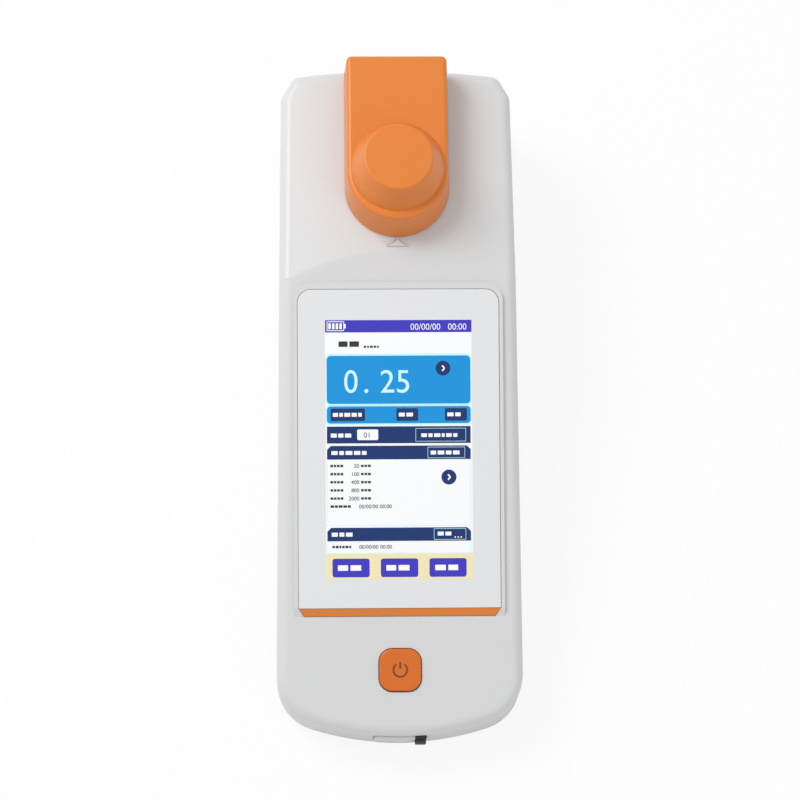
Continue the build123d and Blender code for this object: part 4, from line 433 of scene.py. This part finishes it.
fields_piece(
    "screen_ground", [field_outline(-SCREEN_HALF, SCREEN_HALF, SCREEN_TOP, SCREEN_END)], 1, PAPER
)
fields_piece(
    "screen_halo",
    [field_outline(-26.9, 26.9, 38.1, 57.2, 1.9), field_outline(-26.9, 26.9, 57.0, 64.4, 1.6)]
    + frame_outline(-26.5, 26.3, 76.0, 101.3, 0.22)
    + frame_outline(-26.5, 26.3, 106.0, 111.4, 0.22),
    2, HALO,
)
fields_piece("screen_cream", [field_outline(-26.9, 26.9, 111.5, 120.8)], 2, CREAM)
fields_piece(
    "screen_cyan",
    [field_outline(-26.4, 26.4, 38.9, 56.6, 1.5), field_outline(-26.4, 26.4, 57.5, 63.8, 1.3)],
    3, CYAN,
)
fields_piece(
    "screen_indigo",
    [
        field_outline(-26.9, 26.9, 25.8, 30.3),
        field_outline(-24.6, -11.0, 113.3, 120.1, 0.9),
        field_outline(-6.9, 6.8, 113.3, 120.1, 0.9),
        field_outline(10.9, 24.5, 113.3, 120.1, 0.9),
    ],
    3, INDIGO,
)
UPPER_ARROW, LOWER_ARROW = (16.35, 43.6), (18.25, 83.6)
fields_piece(
    "screen_navy",
    [
        field_outline(-26.4, 26.3, 64.9, 71.1),
        field_outline(-26.4, 26.3, 72.0, 77.0, cut=1.4),
        field_outline(-26.4, 26.2, 102.0, 106.9, cut=1.4),
        field_outline(-25.0, -12.4, 58.3, 62.9, 0.5),
        field_outline(-0.9, 7.1, 58.3, 62.9, 0.5),
        field_outline(16.9, 25.0, 58.3, 62.9, 0.5),
        disc_outline(*UPPER_ARROW, 2.7),
        disc_outline(*LOWER_ARROW, 2.75),
    ],
    4, NAVY,
)
CELL_PITCH = 1.35
battery = [
    field_outline(-25.7 + CELL_PITCH * k, -24.8 + CELL_PITCH * k, 26.95, 29.1, 0.1)
    for k in range(4)
]
words_white = (
    dash_row(-24.2, -13.0, 60.6, 2.1, (1.9, 1.3, 2.2), 0.5)
    + dash_row(0.0, 6.6, 60.6, 2.1, (2.2, 2.4), 0.6)
    + dash_row(17.8, 24.6, 60.6, 2.1, (2.3, 2.0), 0.6)
    + dash_row(-25.0, -16.6, 68.2, 2.2, (2.2, 1.9, 2.3), 0.55)
    + dash_row(8.2, 23.6, 68.2, 2.0, (2.1, 1.5, 2.3, 1.0), 0.55)
    + dash_row(-24.8, -11.0, 74.6, 2.1, (2.3, 1.7, 2.5), 0.6)
    + dash_row(11.6, 23.6, 74.6, 2.1, (2.0, 2.4), 0.6)
    + dash_row(-24.8, -16.0, 104.5, 2.2, (2.2, 1.8, 2.4), 0.6)
    + dash_row(14.0, 19.0, 104.3, 2.1, (2.2,), 0.6)
    + [disc_outline(20.4 + 1.1 * k, 105.6, 0.28) for k in range(3)]
    + dash_row(-22.6, -13.2, 116.7, 3.0, (3.7, 3.9), 0.9)
    + dash_row(-4.9, 4.9, 116.7, 3.0, (3.6, 4.0), 0.9)
    + dash_row(13.0, 22.8, 116.7, 3.0, (3.9, 3.6), 0.9)
)
fields_piece(
    "screen_white",
    frame_outline(-26.3, -19.9, 26.2, 29.8, 0.3)
    + [field_outline(-19.9, -19.3, 27.2, 28.8)]
    + battery
    + words_white
    + [field_outline(-15.3, -7.6, 66.0, 69.9, 0.5)]
    + arrow_outlines(*UPPER_ARROW)
    + arrow_outlines(*LOWER_ARROW),
    5, PAPER,
)
fields_piece(
    "screen_boxes",
    frame_outline(6.1, 24.6, 65.6, 70.5, 0.15)
    + frame_outline(10.5, 24.2, 72.5, 76.6, 0.15)
    + frame_outline(12.6, 24.4, 102.4, 106.5, 0.15),
    5, HALO,
)
title_marks = dash_row(-22.0, -14.0, 34.6, 3.0, (3.3, 3.5), 0.7) + dash_row(
    -12.7, -7.1, 35.6, 1.1, (0.9, 0.6, 1.1), 0.35
)
LIST_TOP, LIST_PITCH = 79.35, 2.98
SAVED_DOWN, LAST_DOWN = 94.2, 109.0
AMOUNTS = ("20", "100", "400", "800", "2000")
list_marks = []
for k in range(len(AMOUNTS)):
    down = LIST_TOP + LIST_PITCH * k
    list_marks += dash_row(-25.2, -20.4, down, 1.25, (1.0, 0.85, 0.95), 0.3)
    list_marks += dash_row(-14.0, -9.2, down, 1.25, (1.0, 0.9, 1.1), 0.3)
list_marks += dash_row(-25.2, -16.6, SAVED_DOWN, 1.3, (1.3, 1.1, 1.4), 0.3)
list_marks += dash_row(-24.6, -17.6, LAST_DOWN, 1.3, (0.9, 1.1, 0.7), 0.3)
fields_piece("screen_dark_marks", title_marks + list_marks, 5, INK)


DIGIT_HEIGHT = 0.73


def number_piece(name, text, x, down, height, layer, material, align="LEFT", stretch=1.0):
    """Plain number on the screen: a text outline made a mesh, then laid on the display face.

    A digit is DIGIT_HEIGHT tall at size 1. The point (x, down) is the start or the end of the
    line that the digits stand on, and stretch widens them.
    """
    curve = bpy.data.curves.new(name, "FONT")
    curve.body = text
    curve.size = 1.0
    curve.align_x = align
    helper = bpy.data.objects.new(name + "_outline", curve)
    mesh = bpy.data.meshes.new_from_object(helper)
    bpy.data.objects.remove(helper)
    flat = np.zeros(len(mesh.vertices) * 3)
    mesh.vertices.foreach_get("co", flat)
    flat = flat.reshape(-1, 3)
    size = height / DIGIT_HEIGHT
    placed = on_face(
        x + flat[:, 0] * size * stretch, down - flat[:, 1] * size, PLATFORM_RISE + LAYER * layer
    )
    mesh.vertices.foreach_set("co", placed.ravel())
    mesh.materials.clear()
    mesh.materials.append(material)
    mesh.update()
    piece = bpy.data.objects.new(name, mesh)
    bpy.context.scene.collection.objects.link(piece)
    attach(piece, "housing")


READING_DOWN, READING_HEIGHT = 52.5, 8.8
STATUS_DOWN, STATUS_HEIGHT = 29.4, 2.4
SMALL_HEIGHT = 1.45
# From the middle of a row of bars down to the line that its digits stand on
BASELINE = 0.7
number_piece(
    "screen_reading_whole", "0", -20.3, READING_DOWN, READING_HEIGHT, 5, HALO, stretch=0.92
)
number_piece("screen_reading_point", ".", -13.2, READING_DOWN, READING_HEIGHT, 5, HALO)
number_piece(
    "screen_reading_tenths", "25", -7.0, READING_DOWN, READING_HEIGHT, 5, HALO, stretch=0.96
)
number_piece("screen_clock", "00:00", 18.2, STATUS_DOWN, STATUS_HEIGHT, 5, PAPER, stretch=0.95)
number_piece("screen_date", "00/00/00", 4.4, STATUS_DOWN, STATUS_HEIGHT, 5, PAPER, stretch=0.95)
number_piece("screen_field_number", "01", -13.0, 69.0, 2.0, 6, INK)
for k, amount in enumerate(AMOUNTS):
    down = LIST_TOP + LIST_PITCH * k + BASELINE
    number_piece(
        f"screen_list_{k + 1}", amount, -14.6, down, SMALL_HEIGHT, 5, INK, align="RIGHT"
    )
for name, down in (("screen_list_time", SAVED_DOWN), ("screen_last_time", LAST_DOWN)):
    number_piece(name, "00/00/00 00:00", -14.8, down + BASELINE, SMALL_HEIGHT, 5, INK)

# Power symbol on the dished top of the button


def dish_height(x, down):
    """Height of the button's dished top over the display face, in mm.

    The dish is a part of a large sphere: its depth falls with the square of the distance.
    """
    distance = (x**2 + (down - BUTTON_DOWN) ** 2) / BUTTON_DISH_HALF**2
    return BUTTON_PROUD - BUTTON_DISH * np.clip(1 - distance, 0, 1)


SYMBOL = moulded("symbol_brown", (0.20, 0.045, 0.010), 0.45, grain=900, depth=0.000004)


def symbol_band(name, x, down):
    """Strip of two parameters laid just over the dish, from arrays of places in mm."""
    points = on_face(x, down, dish_height(x, down) + LAYER)
    piece = add_piece(name, points, grid_faces(*x.shape), SYMBOL, "button_body")
    turn_up(piece)


RING_RADIUS, RING_WIDTH, RING_GAP = 2.5, 0.7, 0.62
BAR_TOP, BAR_END = -2.75, -0.45
turn, across = np.meshgrid(
    np.linspace(RING_GAP, 2 * pi - RING_GAP, 72),
    np.linspace(-RING_WIDTH / 2, RING_WIDTH / 2, 3),
    indexing="ij",
)
symbol_band(
    "power_symbol_ring",
    (RING_RADIUS + across) * np.sin(turn),
    BUTTON_DOWN - (RING_RADIUS + across) * np.cos(turn),
)
along, across = np.meshgrid(
    np.linspace(BAR_TOP, BAR_END, 12),
    np.linspace(-RING_WIDTH / 2, RING_WIDTH / 2, 3),
    indexing="ij",
)
symbol_band("power_symbol_bar", across, BUTTON_DOWN + along)

# Painted shade: a dark brown band laid over the gap round the button in place of the shade in the
# gap, thicker at its lower side where the proud button's shadow falls
SHADE_INNER, SHADE_OUTER, SHADE_LOWEST = 7.72, 8.02, 8.2
inner = field_outline(
    -SHADE_INNER, SHADE_INNER, BUTTON_DOWN - SHADE_INNER, BUTTON_DOWN + SHADE_INNER, corner=4.8
)
outer = field_outline(
    -SHADE_OUTER, SHADE_OUTER, BUTTON_DOWN - SHADE_OUTER, BUTTON_DOWN + SHADE_LOWEST, corner=5.1
)
ring = np.stack([inner, outer])
gap_shade_piece = add_piece(
    "button_gap_painted_shade",
    on_face(ring[..., 0], ring[..., 1], 0.03),
    grid_faces(2, len(inner), closed=True),
    # This dark brown is painted shade in the gap, not a colour of the parts
    moulded("painted_gap_shade", (0.10, 0.028, 0.008), 0.6, grain=900, depth=0.000004),
    "housing",
)
turn_up(gap_shade_piece)

# Shadow lines of the small pointer on the head, one along each flank
FLANK_POWER = 2.2
FLANK_OFFSET = 0.35
FLANK_LINE_HALF = 0.14
FLANK_LINE_LIFT = 0.03
SHADOW = moulded("pointer_shadow", (0.30, 0.28, 0.29), 0.6, grain=900, depth=0.000004)


def pointer_line(name, side):
    """Thin band of even width in x along one flank of the pointer.

    With the share of the way from the tip to the foot, its middle line runs outwards by
    POINTER_HALF times the share to the power FLANK_POWER, plus FLANK_OFFSET.
    """
    share, across = np.meshgrid(
        np.linspace(0.04, 1, 24), np.linspace(-FLANK_LINE_HALF, FLANK_LINE_HALF, 3), indexing="ij"
    )
    x = side * (POINTER_HALF * share**FLANK_POWER + FLANK_OFFSET + across)
    y = POINTER_TIP_Y - POINTER_REACH * share
    z = np.full(share.shape, HEAD_Z + POINTER_RISE + FLANK_LINE_LIFT)
    points = np.stack([x, y, z], axis=-1) * MM
    piece = add_piece(name, points, grid_faces(*share.shape), SHADOW, "housing")
    turn_up(piece)


pointer_line("pointer_line_left", -1)
pointer_line("pointer_line_right", 1)

# Floor, light and camera
FLOOR_HALF = 3.0
FLOOR_GLOW = 0.86
floor_mesh = bpy.data.meshes.new("floor")
corners = np.array([(-1, -1, 0), (1, -1, 0), (1, 1, 0), (-1, 1, 0)], float) * FLOOR_HALF
floor_mesh.from_pydata(corners.tolist(), [], [(0, 1, 2, 3)])
floor = bpy.data.objects.new("floor", floor_mesh)
bpy.context.scene.collection.objects.link(floor)
floor_material, tree, shader = start_material("pale_floor")
floor_mesh.materials.append(floor_material)
shader.inputs["Base Color"].default_value = (0.9, 0.9, 0.9, 1)
shader.inputs["Roughness"].default_value = 0.9
glow = tree.nodes.new("ShaderNodeEmission")
glow.inputs["Strength"].default_value = 1.0
blend = tree.nodes.new("ShaderNodeMixShader")
rays = tree.nodes.new("ShaderNodeLightPath")
seen = maths(
    tree, "MAXIMUM", rays.outputs["Is Camera Ray"], rays.outputs["Is Transmission Ray"]
)
tree.links.new(maths(tree, "MULTIPLY", seen, FLOOR_GLOW), blend.inputs[0])
tree.links.new(shader.outputs[0], blend.inputs[1])
tree.links.new(glow.outputs[0], blend.inputs[2])
tree.links.new(blend.outputs[0], tree.nodes["Material Output"].inputs["Surface"])

world = bpy.data.worlds.new("studio")
bpy.context.scene.world = world
world.use_nodes = True
tree = world.node_tree
soft = tree.nodes["Background"]
soft.inputs["Color"].default_value = (1, 1, 1, 1)
soft.inputs["Strength"].default_value = 0.62
white = tree.nodes.new("ShaderNodeBackground")
white.inputs["Strength"].default_value = 1.0
rays = tree.nodes.new("ShaderNodeLightPath")
blend = tree.nodes.new("ShaderNodeMixShader")
tree.links.new(rays.outputs["Is Camera Ray"], blend.inputs[0])
tree.links.new(soft.outputs[0], blend.inputs[1])
tree.links.new(white.outputs[0], blend.inputs[2])
tree.links.new(blend.outputs[0], tree.nodes["World Output"].inputs["Surface"])


def soft_lamp(name, place, target, width, power):
    """Square area lamp at a place, turned to face a target."""
    light = bpy.data.lights.new(name, "AREA")
    light.size = width
    light.energy = power
    lamp = bpy.data.objects.new(name, light)
    bpy.context.scene.collection.objects.link(lamp)
    lamp.location = place
    aim = Vector(target) - Vector(place)
    lamp.rotation_mode = "QUATERNION"
    lamp.rotation_quaternion = aim.to_track_quat("-Z", "Y")


METER_MIDDLE = (0, 0, 0.05)
soft_lamp("key_upper_left", (-0.75, 0.55, 1.15), METER_MIDDLE, 0.7, 11)
soft_lamp("fill_front_right", (0.8, -0.9, 0.9), METER_MIDDLE, 0.9, 2.5)

# The camera as it was fitted to the photo; it looks at a point of the display face that lies
# AIM_X to the right and AIM_RUN in front of the crease, in mm
AIM_X, AIM_RUN = 0.51, 53.75
LOOK_DOWN, LOOK_ROUND, ROLL = radians(73.81), radians(-5.74), radians(-0.72)
DISTANCE = 1.1
target = Vector(on_face(AIM_X, AIM_RUN / cos(FALL), 0.0).tolist())
back = Vector(
    (sin(LOOK_ROUND) * cos(LOOK_DOWN), -cos(LOOK_ROUND) * cos(LOOK_DOWN), sin(LOOK_DOWN))
)
up = (Vector((0, 1, 0)) - back * back.y).normalized()
right = up.cross(back)
across = right * cos(ROLL) + up * sin(ROLL)
upright = up * cos(ROLL) - right * sin(ROLL)
camera_data = bpy.data.cameras.new("camera")
camera_data.sensor_width = 36
camera_data.lens = 134.7
camera_data.clip_end = 20
camera = bpy.data.objects.new("camera", camera_data)
bpy.context.scene.collection.objects.link(camera)
place = target + back * DISTANCE
camera.matrix_world = Matrix(
    [
        (across.x, upright.x, back.x, place.x),
        (across.y, upright.y, back.y, place.y),
        (across.z, upright.z, back.z, place.z),
        (0, 0, 0, 1),
    ]
)
bpy.context.scene.camera = camera
bpy.context.scene.view_settings.view_transform = "Standard"
